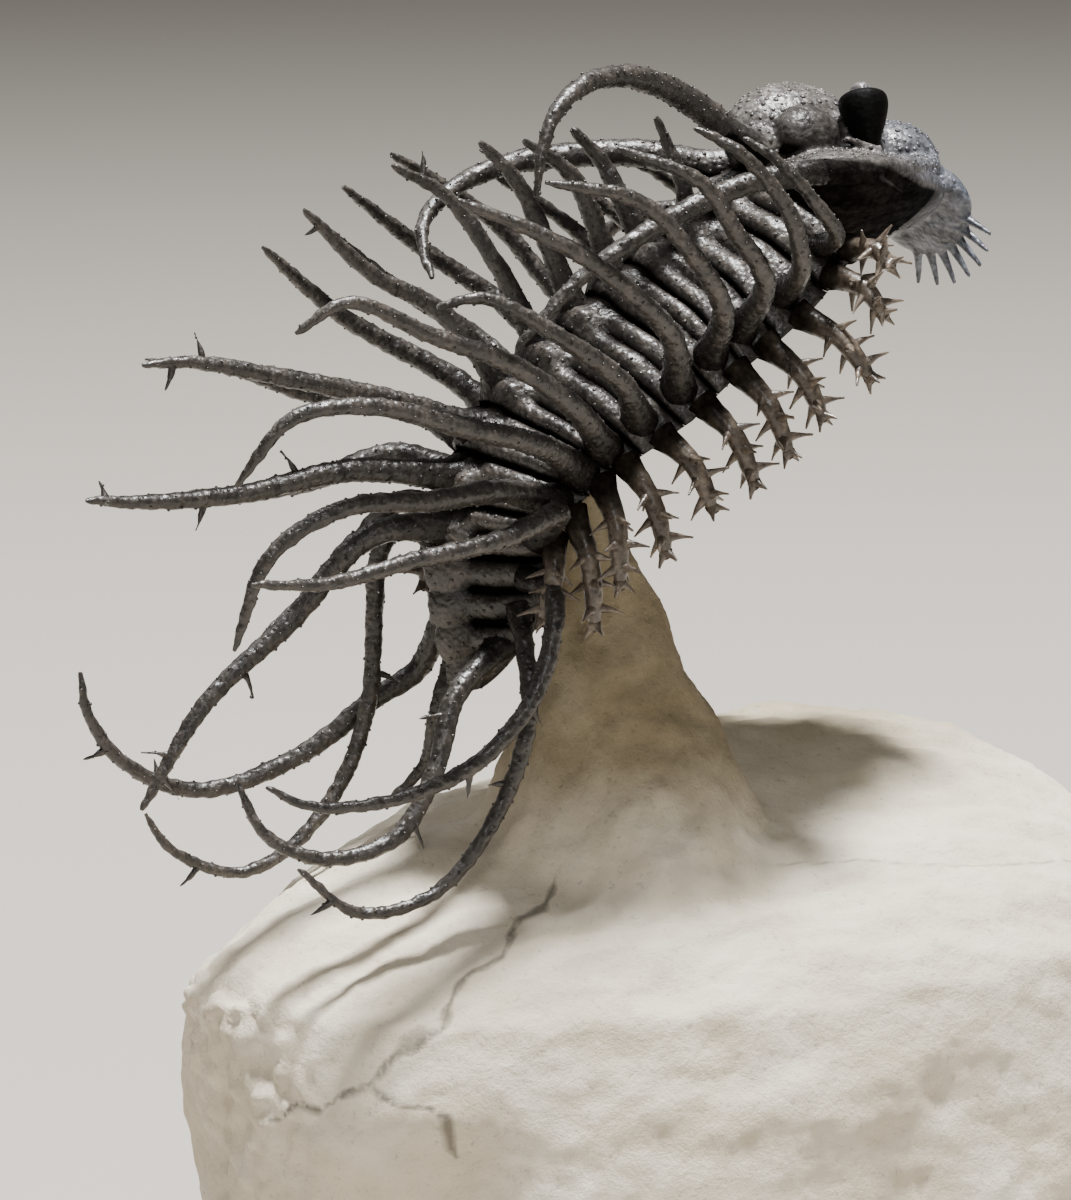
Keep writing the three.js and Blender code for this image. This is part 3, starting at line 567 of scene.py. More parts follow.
RIGHT_SPINES = [
    (0.75, [(-0.5, -12, 76.5), (-3, -13, 79), (-5, -13, 81), (-6.5, -12.5, 82.5), (-8, -11.5, 83.5)]),
    (0.9, [(-4, -13, 74.5), (-6, -14.5, 78.5), (-8, -14.5, 81), (-10, -14, 83), (-12.5, -12.5, 84.5)]),
    (0.95, [(-7, -13, 73.5), (-10.5, -14.5, 77.5), (-13.5, -15, 81), (-19, -13, 83.5)]),
    (0.95, [(-10.5, -13, 72), (-15, -15, 77), (-18.5, -15, 80), (-25, -13.5, 81.5)]),
    (1, [(-14, -12, 70), (-19, -14, 74), (-23.5, -14, 77), (-31, -12, 80.5)]),
    (0.95, [(-17.5, -11, 67), (-22, -12, 70), (-28.5, -11, 73.5), (-31.5, -10, 73)]),
    (1, [(-21.5, -11.5, 65.5), (-27, -12.5, 69), (-33.5, -12.5, 71.5), (-39.5, -12, 74), (-43, -11, 72)]),
    (1.05, [(-24, -11, 63), (-31, -12.5, 65), (-38.5, -13, 67), (-44, -12.5, 66.5), (-47.5, -11, 62)]),
    (1.05, [(-27, -10.5, 60), (-33, -12, 60), (-40, -12, 60), (-45, -11, 57), (-47, -9.5, 50.5)]),
    (0.95, [(-22, -10, 58), (-28.5, -13, 57), (-35, -14, 56.5), (-42.5, -14.5, 55.5), (-48.5, -15, 56)]),
]
LEFT_SPINES = [
    (0.75, [(2, 11.5, 76.5), (-0.5, 12, 78.5), (-3, 11.5, 79.5)]),
    (0.85, [(-3, 12.5, 75), (-5, 13, 76.5), (-8.5, 12.5, 79)]),
    (0.9, [(-5.5, 12.5, 73), (-9.5, 13.5, 76.5), (-14.5, 13, 79.5)]),
    (0.95, [(-9.5, 12, 70.5), (-13, 13.5, 75), (-18, 13.5, 78.5), (-22.5, 13, 81)]),
    (1, [(-14, 12.5, 70), (-19, 13.5, 73.5), (-27, 12, 79)]),
    (0.95, [(-15.5, 12, 67), (-23, 13, 72), (-29, 12, 76.5)]),
    (1.05, [(-17.5, 11, 64), (-26.5, 13, 69.5), (-33.5, 12, 75)]),
    (1.05, [(-22.5, 11.5, 63), (-29, 13, 64), (-37, 12.5, 67)]),
    (1.05, [(-23.5, 11, 59.5), (-30, 13, 57.5), (-41, 12.5, 57.5)]),
    (0.95, [(-23.5, 10.5, 56), (-28, 12, 51), (-34.5, 11.5, 46.5)]),
]
BACK_SPINES = [
    (0.75, [(-5.5, 0.5, 79), (-6.5, 1, 82), (-7.5, 1, 84)], []),
    (1.0, [(-10.5, 0.5, 78), (-12, 1, 81), (-14.5, 1, 83.5)], []),
    (1.0, [(-13, 0, 76.5), (-15.5, -0.5, 80.5), (-19.5, -1, 83)], []),
    (1.0, [(-17, 0, 75.5), (-19.5, 0, 80), (-22.5, 0, 83)], [(0.9, 90, 0.9)]),
    (0.9, [(-20.5, 1, 74), (-24, 2, 79), (-28.5, 2, 81.5)], [(0.86, 10)]),
    (0.95, [(-25, 1, 71), (-30.5, 1, 74), (-36.5, 0, 79)], [(0.93, 180, 0.9)]),
    (1.05, [(-29, 0, 65), (-38.5, 0, 67.5), (-45.5, 0, 69), (-49, 0, 69)],
     [(0.84, 10), (0.93, 190), (0.96, 80, 1)]),
    (1.1, [(-33, 0, 60.5), (-41.5, 0, 59.5), (-48.5, 0, 59.5), (-53.4, 0, 60)],
     [(0.45, 10), (0.7, 190), (0.94, 100), (0.96, 280), (0.95, 10, 1)]),
    (1.1, [(-31, 1, 55.5), (-36.5, 2, 50), (-43.5, 2, 44.5), (-48.5, 2, 37.5)],
     [(0.62, 200), (0.88, 20), (0.93, 200)]),
]
LONG_SPINE_SHARE = 0.86
BACK_SPINE_DEPTH = 1.2

for number in range(1, SEGMENTS + 1):
    middle = segment_middle(number)
    for side_name, side, table in (("right", -1, RIGHT_SPINES), ("left", 1, LEFT_SPINES)):
        root, places = table[number - 1]
        height = shell_height(middle, LONG_SPINE_SHARE) - SHELL / 2
        start = on_body(middle, side * LONG_SPINE_SHARE, height)
        spine(f"{side_name}_spine_{number}", [start, *places], root, foot=0.6, spread=2.2)
    if number > 1:
        root, places, thorns = BACK_SPINES[number - 2]
        start = on_body(middle, 0, -BACK_SPINE_DEPTH)
        spine(f"back_spine_{number}", [start, *places], root, thorns, foot=0.8, spread=1.4)

# Tail spines: name, distance past the tail's start, share of the half width, root radius, places, thorns
TAIL_SPINES = [
    ("right_front", 1.6, -0.85, 0.85, [(-22, -9.5, 52), (-24.5, -11.5, 46), (-29.5, -12, 41.5),
     (-36.5, -12, 39.5), (-42, -11, 39.5), (-45, -10, 41)], [(0.36, 200, 1), (0.55, 170)]),
    ("right_middle", 4.2, -0.8, 0.8, [(-24, -9.5, 44), (-26, -9.5, 38), (-31, -9, 32), (-37, -8.5, 31),
     (-41.5, -8, 34.5)], [(0.4, 20, 1), (0.9, 180)]),
    ("right_rear", 7.2, -0.6, 0.95, [(-27.5, -5, 44.5), (-29.5, -6, 40), (-33, -6.5, 35.5),
     (-38.5, -6, 34.5), (-42.5, -5, 36.5), (-44, -4, 40)], [(0.25, 0), (0.5, 180)]),
    ("left_front", 1.6, 0.85, 0.85, [(-24.5, 8, 55), (-26, 8.5, 53), (-26.5, 8.5, 48), (-27, 8.5, 42),
     (-29.5, 8.5, 36), (-33.5, 8.5, 32), (-37.5, 9, 30.5), (-43, 9, 33), (-44.5, 9.5, 35.5)],
     [(0.36, 180), (0.88, 180)]),
    ("left_middle", 4.8, 0.8, 1.0, [(-23, 8.5, 44), (-26, 9.5, 42), (-31, 11.5, 38), (-38.5, 12.5, 36),
     (-44.5, 12.5, 38.5), (-47.5, 12.5, 42.5), (-48, 12.5, 45.5)], [(0.86, 180), (0.74, 20, 1)]),
    ("left_rear", 7.8, 0.55, 0.8, [(-24.3, 3.5, 41.5), (-24.6, 4.5, 38), (-27, 5.5, 35.2)], []),
]
for tail_name, at, share, root, places, thorns in TAIL_SPINES:
    distance = TAIL_START + at
    start = on_body(distance, share, shell_height(distance, share) - SHELL * 0.5)
    spine(f"tail_spine_{tail_name}", [start, *places], root, thorns)


# Shell of the body

def closed_grid(rows, columns):
    """Faces of a tube of rows by columns points, with its two end rings closed by fans of quads."""
    faces = []
    for r in range(rows - 1):
        for c in range(columns):
            d = (c + 1) % columns
            faces.append((r * columns + c, r * columns + d, (r + 1) * columns + d, (r + 1) * columns + c))
    faces.append(tuple(range(columns))[::-1])
    faces.append(tuple((rows - 1) * columns + c for c in range(columns)))
    return faces


TOP_POINTS = 121
UNDER_POINTS = 60
BELLY_SHARE = 0.92
RELIEF_SHADE_AND_RUBBING = 2.2
UNDER_PAINTED_SHADE = -0.8


def band(start, end, relief, rows, narrowing=None):
    """Arched shell between two distances along the midline, with the rise that relief gives."""
    sides = np.linspace(-1, 1, TOP_POINTS)
    under_sides = np.linspace(BELLY_SHARE, -BELLY_SHARE, UNDER_POINTS)
    belly = np.interp(np.abs(under_sides), [0, 0.45, 0.72, BELLY_SHARE], [3.2, 3.2, SHELL, SHELL])
    along = np.linspace(0, 1, rows)
    points, bumpy, tone = [], [], []
    for share in along:
        distance = start + (end - start) * share
        width = 1.0 if narrowing is None else narrowing(share)
        rise = relief(share, sides)
        top = shell_height(distance, sides) * width + rise
        bottom = shell_height(distance, under_sides) * width - belly * width
        points.append(on_body(distance, sides * width, top))
        points.append(on_body(distance, under_sides * width, bottom))
        bumpy += [1.0] * len(sides) + [0.0] * len(under_sides)
        # Painted shade in the grooves and all over the underside of the shell; crests lighter for wear and
        # painted light
        tone += list(np.clip(rise * RELIEF_SHADE_AND_RUBBING, -1, 0.7)) + [UNDER_PAINTED_SHADE] * len(under_sides)
    columns = len(sides) + len(under_sides)
    return np.vstack(points), closed_grid(rows, columns), {"bumpy": np.array(bumpy), "tone": np.array(tone)}


def segment_relief(share, sides):
    """Two rounded ribs with a narrow groove between them on the flanks, a ring with lumps on the axis."""
    reach = np.abs(sides)
    flank = np.clip((reach - 0.26) / 0.1, 0, 1)
    rib = 0.95 * abs(math.sin(2 * math.pi * share)) ** 0.6 - 0.62
    ring = 0.7 * math.exp(-((share - 0.6) / 0.26) ** 2) - 0.4
    lump = 0.5 * np.exp(-((reach - 0.27) / 0.06) ** 2) * math.exp(-((share - 0.55) / 0.2) ** 2)
    edge = -0.2 * (math.exp(-(share / 0.07) ** 2) + math.exp(-((1 - share) / 0.07) ** 2))
    margin = np.clip((1 - reach) / 0.05, 0, 1)
    return (flank * rib + (1 - flank) * ring + lump + edge) * margin


# Short side spines on the right: their segment, how far before its middle each starts, and the tip
SIDE_SPINES = [
    (1, 1.1, (3.5, -13, 74)), (1, -1, (3, -13, 70.5)), (2, 0, (2, -13, 66)), (3, 0.9, (-2, -13, 63.5)),
    (4, 0.9, (-4.5, -12.5, 61)), (5, 0.5, (-7, -12, 59)), (6, 0.3, (-10.5, -12, 57.5)),
    (7, 0.4, (-14, -11.5, 54.5)), (8, 0.3, (-17.5, -11, 52.5)), (9, -0.2, (-18.9, -9.9, 49.5)),
    (10, 0.1, (-22.4, -8.6, 50)),
]
SIDE_SPINE_SHARE = 0.95
SIDE_SPINE_BOW = np.array((0, -0.9, 0.6))
# Rings of thornlets: share of the way, how many, turn in radians, length, lean towards the tip
THORNLET_RINGS = [
    (0.42, 3, 0.0, 2.0, 0.35), (0.64, 3, 1.0, 2.1, 0.3), (0.84, 3, 0.3, 2.0, 0.4), (1.0, 3, 1.2, 0.9, 0.9)]
SIDE_SPINE_POINTS = 30


def side_spine_ways(index, forward, tip, side):
    """Short side spine with rings of thin thornlets and a forked end."""
    distance = segment_middle(index) - forward
    height = shell_height(distance, SIDE_SPINE_SHARE) - SHELL * 0.4
    right_root = on_body(distance, -SIDE_SPINE_SHARE, height)
    root = on_body(distance, side * SIDE_SPINE_SHARE, height)
    reach = np.array(tip) - right_root
    mirror = np.array([1, -side, 1])
    bend = root + (reach / 2 + SIDE_SPINE_BOW) * mirror
    path = smooth_path([root, bend, root + reach * mirror], SIDE_SPINE_POINTS)
    share = np.linspace(0, 1, SIDE_SPINE_POINTS)
    radii = np.interp(share, [0, 0.15, 0.4, 0.65, 0.85, 1], [1.2, 0.92, 0.74, 0.7, 0.6, 0.3])
    # Painted shade at the root, where the side spine leaves the shell; lighter towards the end
    ways = [(path, radii, np.interp(share, [0, 0.2, 0.5, 1], [-1, -0.85, 0, 0.2]))]
    way = path[-1] - path[0]
    way /= np.linalg.norm(way)
    across = np.array((0.0, 1.0, 0.0)) - way * way[1]
    across /= np.linalg.norm(across)
    other = np.cross(across, way)
    for ring_share, count, turn, length, lean in THORNLET_RINGS:
        at = min(int(ring_share * (SIDE_SPINE_POINTS - 1)), SIDE_SPINE_POINTS - 2)
        for i in range(count):
            angle = turn + tip[0] * 0.9 + 2 * math.pi * i / count
            out = across * math.cos(angle) + other * math.sin(angle)
            t = np.linspace(0, 1, THORN_POINTS)[:, None]
            points = path[at] + length * (out * t + way * lean * t ** 1.5)
            ways.append((points, 0.07 + 0.48 * (1 - t[:, 0]) ** 1.5, 0.7 * t[:, 0]))
    return ways


def join(target, *others):
    """Makes one piece of several."""
    for piece in bpy.context.selected_objects:
        piece.select_set(False)
    for piece in (target, *others):
        piece.select_set(True)
    bpy.context.view_layer.objects.active = target
    bpy.ops.object.join()


# Room between one shell and the next, on each side of the joint
JOINT_ROOM = 0.02
for number in range(1, SEGMENTS + 1):
    node = f"thorax_segment_{number}"
    start = FIRST_SEGMENT + (number - 1) * SEGMENT_LENGTH + JOINT_ROOM
    points, faces, attributes = band(start, start + SEGMENT_LENGTH - 2 * JOINT_ROOM, segment_relief, 30)
    shell = new_piece("fine_" + node, points, faces, STONE, attributes)
    granulated(shell, 0.8, 0.07, 0.17, number, STONE)
    own = [spine_at[1:] for spine_at in SIDE_SPINES if spine_at[0] == number]
    ways = []
    for forward, tip in own:
        for side in (-1, 1):
            ways += side_spine_ways(number, forward, tip, side)
    join(shell, rods("side_spines", ways, THIN_STONE, sides=10, lump=0.08, step=0.2))
    keep(shell, node)


def tail_relief(share, sides):
    reach = np.abs(sides)
    ribs = 0.8 * abs(math.sin(math.pi * share * 4)) ** 0.7 - 0.5
    axis = 1.2 * np.clip(1 - reach / 0.34, 0, 1) ** 0.6
    margin = np.clip((1 - reach) / 0.08, 0, 1)
    return (ribs * np.clip(reach / 0.3, 0.5, 1) + axis - 0.15) * margin * min(1, (1 - share) / 0.1)


# The tail shield is painted darker all over, as the shade it lies in
TAIL_PAINTED_SHADE = 0.35
points, faces, attributes = band(
    TAIL_START + JOINT_ROOM, TAIL_START + TAIL_LENGTH, tail_relief, 60,
    lambda share: math.sqrt(max(1 - 0.93 * share ** 4, 0)))
attributes["tone"] = attributes["tone"] - TAIL_PAINTED_SHADE
tail = new_piece("fine_tail_shield", points, faces, STONE, attributes)
granulated(tail, 0.7, 0.08, 0.18, 30, STONE)
keep(tail, "tail_shield")


# Head

HEAD_FRAME = (
    Matrix.Translation((0.5, 2, 81.7)) @ Matrix.Rotation(math.radians(8), 4, "Y")
    @ Matrix.Rotation(math.radians(-28), 4, "X"))
HEAD_MATRIX = np.array(HEAD_FRAME)


def in_head(points):
    return np.asarray(points, float) @ HEAD_MATRIX[:3, :3].T + HEAD_MATRIX[:3, 3]


def ball(center, radii, around=40, down=24):
    """Points and faces of an ellipsoid in the head's frame."""
    theta = np.linspace(0, math.pi, down + 1)[1:-1]
    phi = np.linspace(0, 2 * math.pi, around, endpoint=False)
    ring = np.stack([
        np.outer(np.sin(theta), np.cos(phi)), np.outer(np.sin(theta), np.sin(phi)),
        np.outer(np.cos(theta), np.ones(around))], -1).reshape(-1, 3)
    points = np.vstack([ring, [(0, 0, 1), (0, 0, -1)]])
    faces = []
    for r in range(down - 2):
        for c in range(around):
            d = (c + 1) % around
            faces.append((r * around + c, (r + 1) * around + c, (r + 1) * around + d, r * around + d))
    top, bottom = len(ring), len(ring) + 1
    last = (down - 2) * around
    for c in range(around):
        d = (c + 1) % around
        faces.append((top, c, d))
        faces.append((bottom, last + d, last + c))
    return points * np.array(radii) + np.array(center), faces, points


def shield_shape():
    points, faces, unit = ball((0, 0, 0), (1, 1, 1), 64, 32)
    forward = np.maximum(unit[:, 0], 0)
    x = 5 + unit[:, 0] * np.where(unit[:, 0] > 0, 11, 6)
    y = unit[:, 1] * 9 * (1 - 0.18 * forward)
    z = -5 + unit[:, 2] * np.where(unit[:, 2] > 0, 3.6, 2.4) - 0.72 * unit[:, 1] ** 2 + 1.4 * forward
    return np.stack([x, y, z], 1), faces


def tube(path, radii, around=20):
    """Closed round tube along points."""
    path = np.asarray(path, float)
    way = np.gradient(path, axis=0)
    way /= np.linalg.norm(way, axis=1)[:, None]
    reference = np.array((0.0, 0.0, 1.0)) if abs(way[:, 2]).max() < 0.9 else np.array((0.0, 1.0, 0.0))
    across = np.cross(way, reference)
    across /= np.linalg.norm(across, axis=1)[:, None]
    other = np.cross(across, way)
    phi = np.linspace(0, 2 * math.pi, around, endpoint=False)
    rings = (
        path[:, None] + radii[:, None, None] * (
            across[:, None] * np.cos(phi)[None, :, None] + other[:, None] * np.sin(phi)[None, :, None]))
    return rings.reshape(-1, 3), closed_grid(len(path), around)


HORN_HALF = [(0.5, 1.6, -1.2), (-2, 2.4, -1), (-6, 4, 0.2), (-10.8, 6.3, 0.6), (-15.4, 8, 0.1),
             (-19.3, 9, -1.6), (-22, 9.2, -4.2), (-23, 8.4, -7), (-23.2, 7.4, -9.6)]


HORN_POINTS = 100
# The root of each horn is fused to the head, and the horn itself starts a little inside it
HORN_ROOT_POINTS = 16
HORN_START = 12


def horn_path(side):
    return smooth_path([(x, side * y, z) for x, y, z in HORN_HALF], HORN_POINTS)


def horn_radius(share):
    return 0.14 + 1.02 * (1 - 0.5 * share) * np.sqrt(np.maximum(1 - share ** 3, 0))


RIM = [(-0.6, -9.3, -6.4), (5.6, -8.4, -5.2), (10.4, -6, -3.6), (14, -2.8, -1.9), (15, 0, -1.5),
       (14, 2.8, -1.9), (11.3, 5.6, -3), (8.3, 7.9, -3.6)]
RIM_RADIUS = 1.0
RIM_POINTS = 80
RIM_PATH = smooth_path(RIM, RIM_POINTS)
FAN_ROOT = (14.1, 0, -2.8)
FAN_DIP = math.radians(50)
FAN_FINGERS = 7
FAN_SPREAD = 80
FAN_START = 2.5
FAN_TIP = 7.5


def fan_ways():
    """Fingers of the fan, in a plane that dips forward; they start inside the palm."""
    ways = []
    for finger in range(FAN_FINGERS):
        angle = math.radians(FAN_SPREAD * (finger / (FAN_FINGERS - 1) - 0.5))
        r = np.linspace(FAN_START, FAN_TIP, 24)
        flat = np.stack([r * math.cos(angle), r * math.sin(angle), -0.03 * (r - FAN_START) ** 2], 1)
        ways.append((flat, np.interp(r, [FAN_START, 4.6, 5.2, FAN_TIP], [0.62, 0.5, 0.36, 0.19])))
    return ways


def on_fan(points):
    """From the fan's own plane to the head's frame."""
    c, s = math.cos(FAN_DIP), math.sin(FAN_DIP)
    x, y, z = np.asarray(points, float).T
    return np.stack([c * x + s * z, y, c * z - s * x], 1) + FAN_ROOT


# Swollen palm of the fan, in the fan's plane
PALM_LOBES = [((0.8, 0, 0), (4.1, 3.9, 0.9)), ((2.7, 0, 0.1), (2.2, 4.1, 0.95)),
              ((1.4, -2.9, 0.2), (2.5, 1.7, 1.1)), ((1.4, 2.9, 0.2), (2.5, 1.7, 1.1))]
# Glabella, snout and the two cheek lobes: center and radii
HEAD_LOBES = [((4.4, 0, 0.4), (5.6, 3.9, 4.4)), ((11.4, 0, -1.4), (4.4, 5.2, 3.6)),
              ((7.3, -3, -1), (2.8, 2.2, 2.8)), ((7.3, 3, -1), (2.8, 2.2, 2.8))]
# On each side a smooth lobe behind the eye, a row of beads under the eye and a barb under the cheek
SMOOTH_LOBE = (3.3, 3.5, -0.6)
SMOOTH_LOBE_RADII = (2.6, 1.7, 2.2)
BEADS = 7
BEAD_RADIUS = 0.32
BEAD_START = (6.8, 6.9, -2.9)
BEAD_END = (4.4, 6.6, -2.2)
CHEEK_BARB = [(4.4, 8.2, -6.2), (5, 9.3, -6.6), (6, 9.9, -7.6)]


def head_parts():
    parts = [shield_shape()]
    for center, radii in HEAD_LOBES:
        parts.append(ball(center, radii)[:2])
    parts.append(tube(RIM_PATH, np.full(RIM_POINTS, RIM_RADIUS)))
    for center, radii in PALM_LOBES:
        palm, faces, _ = ball(center, radii)
        parts.append((on_fan(palm), faces))
    for flat, radii in fan_ways():
        parts.append(tube(on_fan(flat), radii, 14))
    for side in (-1, 1):
        parts.append(ball((SMOOTH_LOBE[0], side * SMOOTH_LOBE[1], SMOOTH_LOBE[2]), SMOOTH_LOBE_RADII)[:2])
        for i in range(BEADS):
            bead = np.array(BEAD_START) + (np.array(BEAD_END) - BEAD_START) * i / (BEADS - 1)
            parts.append(ball(bead * (1, side, 1), [BEAD_RADIUS] * 3, 12, 8)[:2])
        barb = np.array(CHEEK_BARB) * (1, side, 1)
        parts.append(tube(smooth_path(barb, 12), np.linspace(0.5, 0.16, 12), 12))
    for side in (-1, 1):
        horn = horn_path(side)[:HORN_ROOT_POINTS]
        share = np.linspace(0, 0.15, HORN_ROOT_POINTS)
        parts.append(tube(horn, horn_radius(share) * (1 + 0.5 * np.exp(-share * 25))))
    return parts


def fused(name, parts, voxel, material, rounds=8):
    """One skin around overlapping parts, with softened joins."""
    points, faces = [], []
    for some, polygons in parts:
        first = sum(map(len, points))
        points.append(some)
        faces += [[i + first for i in polygon] for polygon in polygons]
    piece = new_piece(name, np.vstack(points), faces, material)
    remesh = piece.modifiers.new("skin", "REMESH")
    remesh.mode = "VOXEL"
    remesh.voxel_size = voxel * MM
    smooth = piece.modifiers.new("soften", "SMOOTH")
    smooth.factor = 0.5
    smooth.iterations = rounds
    apply_modifiers(piece)
    piece.data.materials.clear()
    piece.data.materials.append(material)
    piece.data.polygons.foreach_set("material_index", [0] * len(piece.data.polygons))
    return piece


def points_of(piece):
    flat = np.zeros(len(piece.data.vertices) * 3)
    piece.data.vertices.foreach_get("co", flat)
    return flat.reshape(-1, 3) / MM


def normals_of(piece):
    flat = np.zeros(len(piece.data.vertices) * 3)
    piece.data.vertex_normals.foreach_get("vector", flat)
    return flat.reshape(-1, 3)


HEAD_VOXEL = 0.16
head = fused("fine_head_shield", [(in_head(p), f) for p, f in head_parts()], HEAD_VOXEL, HEAD_STONE)
local = (points_of(head) - HEAD_MATRIX[:3, 3]) @ HEAD_MATRIX[:3, :3]
ahead, sideways, up = local.T
from_lobe = np.stack([np.abs(ahead), np.abs(sideways), up], 1) - SMOOTH_LOBE
off_lobe = np.linalg.norm(from_lobe / SMOOTH_LOBE_RADII, axis=1)
# Pustules stand on the crown, hardly any on the fan and the underside, none on the smooth lobes
on_top = np.clip((up + 4.6) / 1.2, 0.05, 1)
off_fan = np.clip((15 - ahead) / 2, 0.1, 1)
give_attribute(head.data, "bumpy", on_top * off_fan * np.clip((off_lobe - 1.0) / 0.15, 0, 1))
# Painted light and shade: the crown is painted lighter where light falls on it, the smooth lobes darker,
# and the underside behind the fan painted nearly black as shade
facing_down = np.clip((-0.05 - normals_of(head)[:, 2]) / 0.4, 0, 1)
below_rim = np.clip((-4.9 - up) / 0.7, 0, 1)
under = np.maximum(facing_down, below_rim) * np.clip((14 - ahead) / 2, 0, 1)
crown = np.clip((up - 1) / 3, 0, 1)
on_lobe = np.clip((1.25 - off_lobe) / 0.2, 0, 1) * np.clip(up + 3, 0, 1)
give_attribute(head.data, "tone", 0.5 * crown - 0.95 * under - 0.5 * on_lobe)
granulated(head, 0.55, 0.13, 0.25, 40, HEAD_STONE, 0.5)
keep(head, "head_shield")

CHEEK_PLACES = {
    "right": [(-6.5, -9.5, 80), (-12.5, -9.5, 78), (-19, -9, 74.5), (-24.5, -8.5, 69.5)],
    "left": [(5.5, 12.5, 75.5), (1, 17, 75), (-4, 19.5, 72)],
}
for side_name, side in (("right", -1), ("left", 1)):
    horn = horn_path(side)[HORN_START:]
    share = np.linspace(HORN_START / HORN_POINTS, 1, HORN_POINTS - HORN_START)
    node = f"{side_name}_horn"
    piece = rods("fine_" + node, [(in_head(horn), horn_radius(share), 0.3 * share)], STONE, sides=20)
    keep(granulated(piece, 0.7, 0.07, 0.17, 60 + side, STONE, 0.8), node)
    end = in_head(RIM_PATH[:2] if side < 0 else RIM_PATH[::-1][:2])
    outward = (end[0] - end[1]) / np.linalg.norm(end[0] - end[1])
    places = [end[0] - outward * 0.4, end[0] + outward * 0.9, *CHEEK_PLACES[side_name]]
    spine(f"{side_name}_cheek_spine", places, 1.05, foot=0.02)


# Eyes: cones standing on their narrow end, with a knob in paler stone and a painted highlight on it; radius
# and height over the foot
EYE_PROFILE = [
    (0.02, -0.6), (0.35, -0.6), (1.05, 0.8), (1.5, 1.9), (1.8, 3), (1.72, 3.7), (1.2, 4), (0.85, 4.05),
    (0.75, 4.5), (0.42, 4.82), (0.02, 4.88)]
EYE_FOOT = (6.8, 5.9, -2.1)
EYE_ROWS = 40
KNOB_ROW = 31
EYE_TONE, KNOB_PAINTED_HIGHLIGHT = -0.8, 1.0
for side_name, side in (("right", -1), ("left", 1)):
    profile = smooth_path([(r, 0, z) for r, z in EYE_PROFILE], EYE_ROWS)
    phi = np.linspace(0, 2 * math.pi, EYE_ROWS, endpoint=False)
    rings = np.stack([
        profile[:, :1] * np.cos(phi), profile[:, :1] * np.sin(phi), profile[:, 2:] * np.ones(EYE_ROWS)], -1)
    places = in_head(rings.reshape(-1, 3) + np.array(EYE_FOOT) * (1, side, 1))
    tones = np.repeat(np.where(np.arange(EYE_ROWS) > KNOB_ROW, KNOB_PAINTED_HIGHLIGHT, EYE_TONE), EYE_ROWS)
    faces = closed_grid(EYE_ROWS, EYE_ROWS)
    eye = new_piece(f"fine_{side_name}_eye", places, faces, EYE_STONE, {"tone": tones})
    eye.data.materials.append(HEAD_STONE)
    for polygon in eye.data.polygons:
        polygon.material_index = int(polygon.index // EYE_ROWS > KNOB_ROW)
    shade_smooth(eye)
    keep(eye, f"{side_name}_eye", slot="eye_stone")


# Block and stalk

# Rings of the block: height, half length, half depth, middle
BLOCK_RINGS = np.array([
    (0, 41, 25, -0.7, 0), (8, 42.5, 26, -2.4, 0), (18, 42.5, 25.5, -3.5, 0.5), (24, 40.5, 24, -4, 1),
    (28.5, 35, 20.5, -2.2, 2.5), (32.5, 27.5, 15.5, 1.5, 5.5), (35.8, 16.5, 9, 7.5, 8.5),
    (37.5, 7, 4, 10, 9.5)], float)
BLOCK_ROWS = 60
BLOCK_AROUND = 120
# The skin stays this far inside the rings, so that its hollows and ridges keep to the solid's size
SKIN_ROOM = 0.5
STALK_TOP, STALK_FOOT, STALK_FLARE = 2.6, 15.0, 2.1
STALK = [(-11, 0, 27), (-11.2, 0, 33), (-11.6, 0, 40), (-13, 0, 49), (-14.8, 0, 55), (-18.5, 0, 61.5)]


def block_parts():
    walked = np.linspace(0, len(BLOCK_RINGS) - 1, BLOCK_ROWS)
    stops = np.arange(len(BLOCK_RINGS))
    angle = np.linspace(0, 2 * math.pi, BLOCK_AROUND, endpoint=False)
    rings = []
    for w in walked:
        z, long, deep, x, y = [np.interp(w, stops, BLOCK_RINGS[:, i]) for i in range(5)]
        long, deep = long - SKIN_ROOM, deep - SKIN_ROOM
        uneven = 1 + 0.025 * np.sin(3 * angle + z * 0.15) + 0.015 * np.sin(7 * angle - z * 0.3)
        rings.append(np.stack([
            x + long * uneven * np.cos(angle), y + deep * uneven * np.sin(angle),
            np.full(BLOCK_AROUND, z)], 1))
    drum = (np.vstack(rings), closed_grid(BLOCK_ROWS, BLOCK_AROUND))
    path = smooth_path(STALK, 60)
    share = np.linspace(0, 1, 60)
    radii = STALK_TOP + (STALK_FOOT - STALK_TOP) * (1 - share) ** STALK_FLARE
    return [drum, tube(path, radii, 60)]


# Cracks over the front of the block, and a fine straight line that runs off to the right
CRACKS = [
    [(-19.6, -6.5, 31.6), (-23, -9.5, 30), (-29.4, -12.3, 27.4), (-33.8, -14.5, 24.9), (-39.2, -14.2, 20.2),
     (-42.8, -11, 18.3), (-44.3, -7.7, 17.1)],
    [(-39.2, -14.2, 20.2), (-36.7, -16.4, 18.9), (-35.5, -17.2, 17.5), (-34.1, -17.7, 14.5)],
]
LINE_DEPTH = 4
FINE_LINE_FAINTNESS = 0.2
FINE_LINE = [(-4.3, -11.2, 31.7), (1.7, -12.3, 31.2), (7.9, -13.3, 30.7), (14.9, -13.4, 30), (24, -11, 29)]


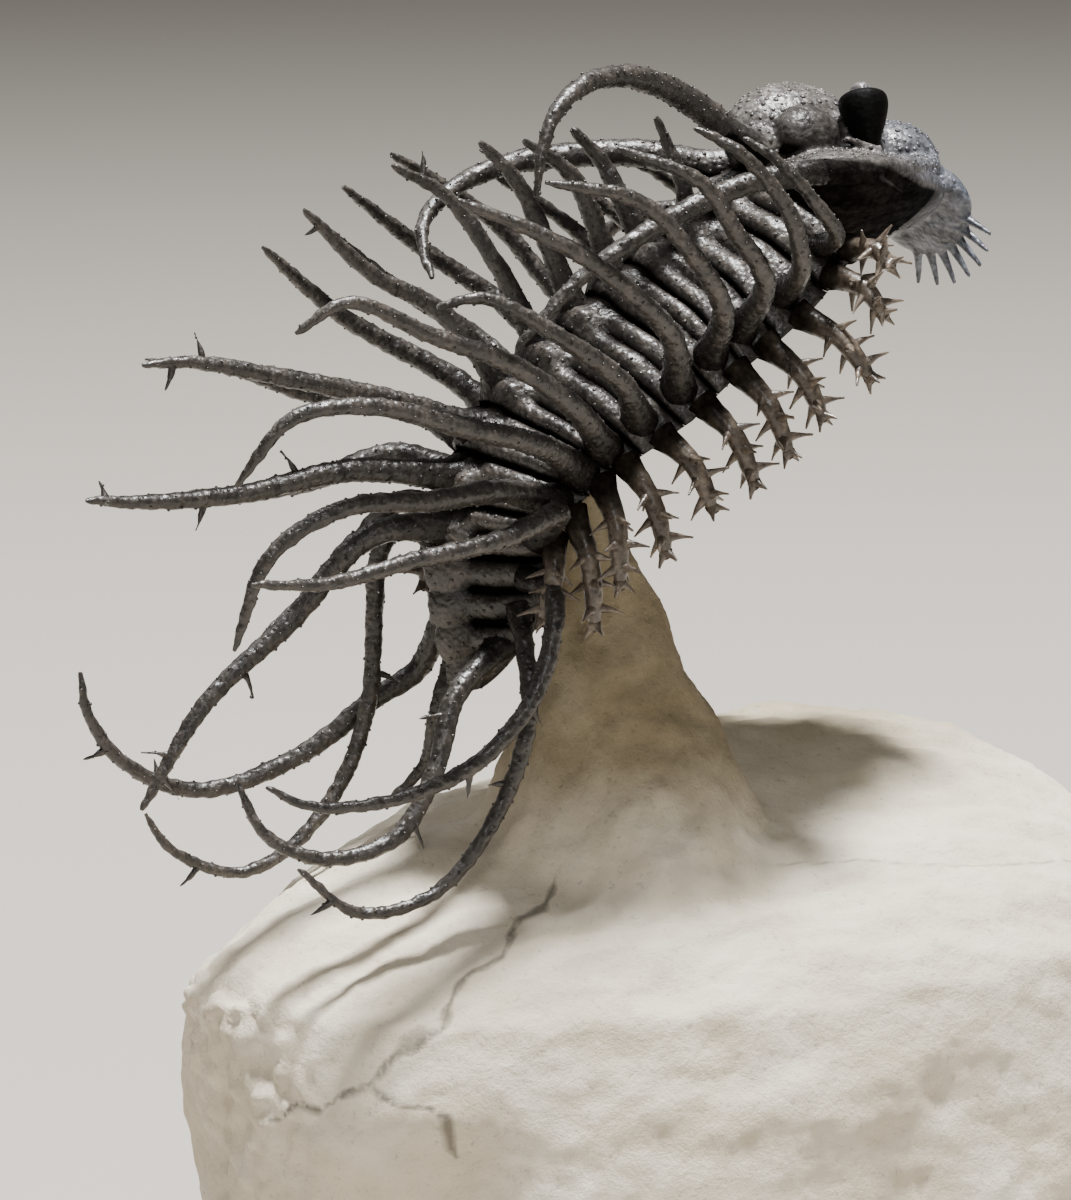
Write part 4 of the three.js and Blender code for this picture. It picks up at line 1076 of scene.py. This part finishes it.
def distance_to(points, normals, places):
    """Distance along the surface from each point to a line, which may pass a little beneath it."""
    near = np.full(len(points), 1e9)
    for a, b in zip(np.array(places[:-1]), np.array(places[1:])):
        along = np.clip((points - a) @ (b - a) / ((b - a) @ (b - a)), 0, 1)
        away = points - a - along[:, None] * (b - a)
        depth = (away * normals).sum(1)
        flat = np.linalg.norm(away - depth[:, None] * normals, axis=1)
        near = np.minimum(near, np.where(np.abs(depth) < LINE_DEPTH, flat, 1e9))
    return near


BLOCK_VOXEL = 0.5
RAGGED_START, RAGGED_WIDTH = -41.5, 2
block = fused("fine_limestone_block", block_parts(), BLOCK_VOXEL, LIMESTONE, rounds=2)
skin = points_of(block)
wander = np.sin(skin[:, [2, 0, 1]] * (1.3, 1.1, 1.7) + (0, 1, 2)) * 0.5 + np.sin(skin * 3.7) * 0.15
facing = normals_of(block)
cracked = np.minimum(*[distance_to(skin + wander, facing, line) for line in CRACKS])
off_line = distance_to(skin, facing, FINE_LINE) + FINE_LINE_FAINTNESS
give_attribute(block.data, "crack", np.minimum(cracked, off_line))
give_attribute(block.data, "ragged", np.clip((RAGGED_START - skin[:, 0]) / RAGGED_WIDTH, 0, 1))
baked(block, ROCK, Depth=1.7 * MM, Chips=1.1 * MM, Material=LIMESTONE)
keep(block, "limestone_block", slot="limestone")


# Stage: plain pale floor and soft studio light

FLOOR_HALF = 6000
CORNERS = np.array([(-1, -1, 0), (1, -1, 0), (1, 1, 0), (-1, 1, 0)])
floor_material, floor_tree = new_material("plain pale floor")
finish_material(floor_tree, {"Base Color": linear("#aba59c"), "Roughness": 0.9})
floor = new_piece("floor", CORNERS * FLOOR_HALF, [(0, 1, 2, 3)], floor_material)

world = bpy.data.worlds.new("studio")
world.use_nodes = True
background = world.node_tree.nodes["Background"].inputs
background["Color"].default_value = linear("#c4c2be")
background["Strength"].default_value = 0.27
bpy.context.scene.world = world


def softbox(name, place, size, power):
    """Square lamp aimed at the fossil; place and size in metres, power in watts."""
    light = bpy.data.lights.new(name, "AREA")
    light.size = size
    light.energy = power
    lamp = put_in_scene(name, light)
    lamp.location = place
    aim = Vector(LOOK_AT * MM) - Vector(place)
    lamp.rotation_euler = aim.to_track_quat("-Z", "Y").to_euler()


softbox("key", (0.05, -0.02, 0.82), 0.09, 23.0)
softbox("fill", (-0.3, -0.65, 0.5), 0.16, 1.4)
softbox("back", (-0.2, 0.5, 0.6), 0.3, 1.0)
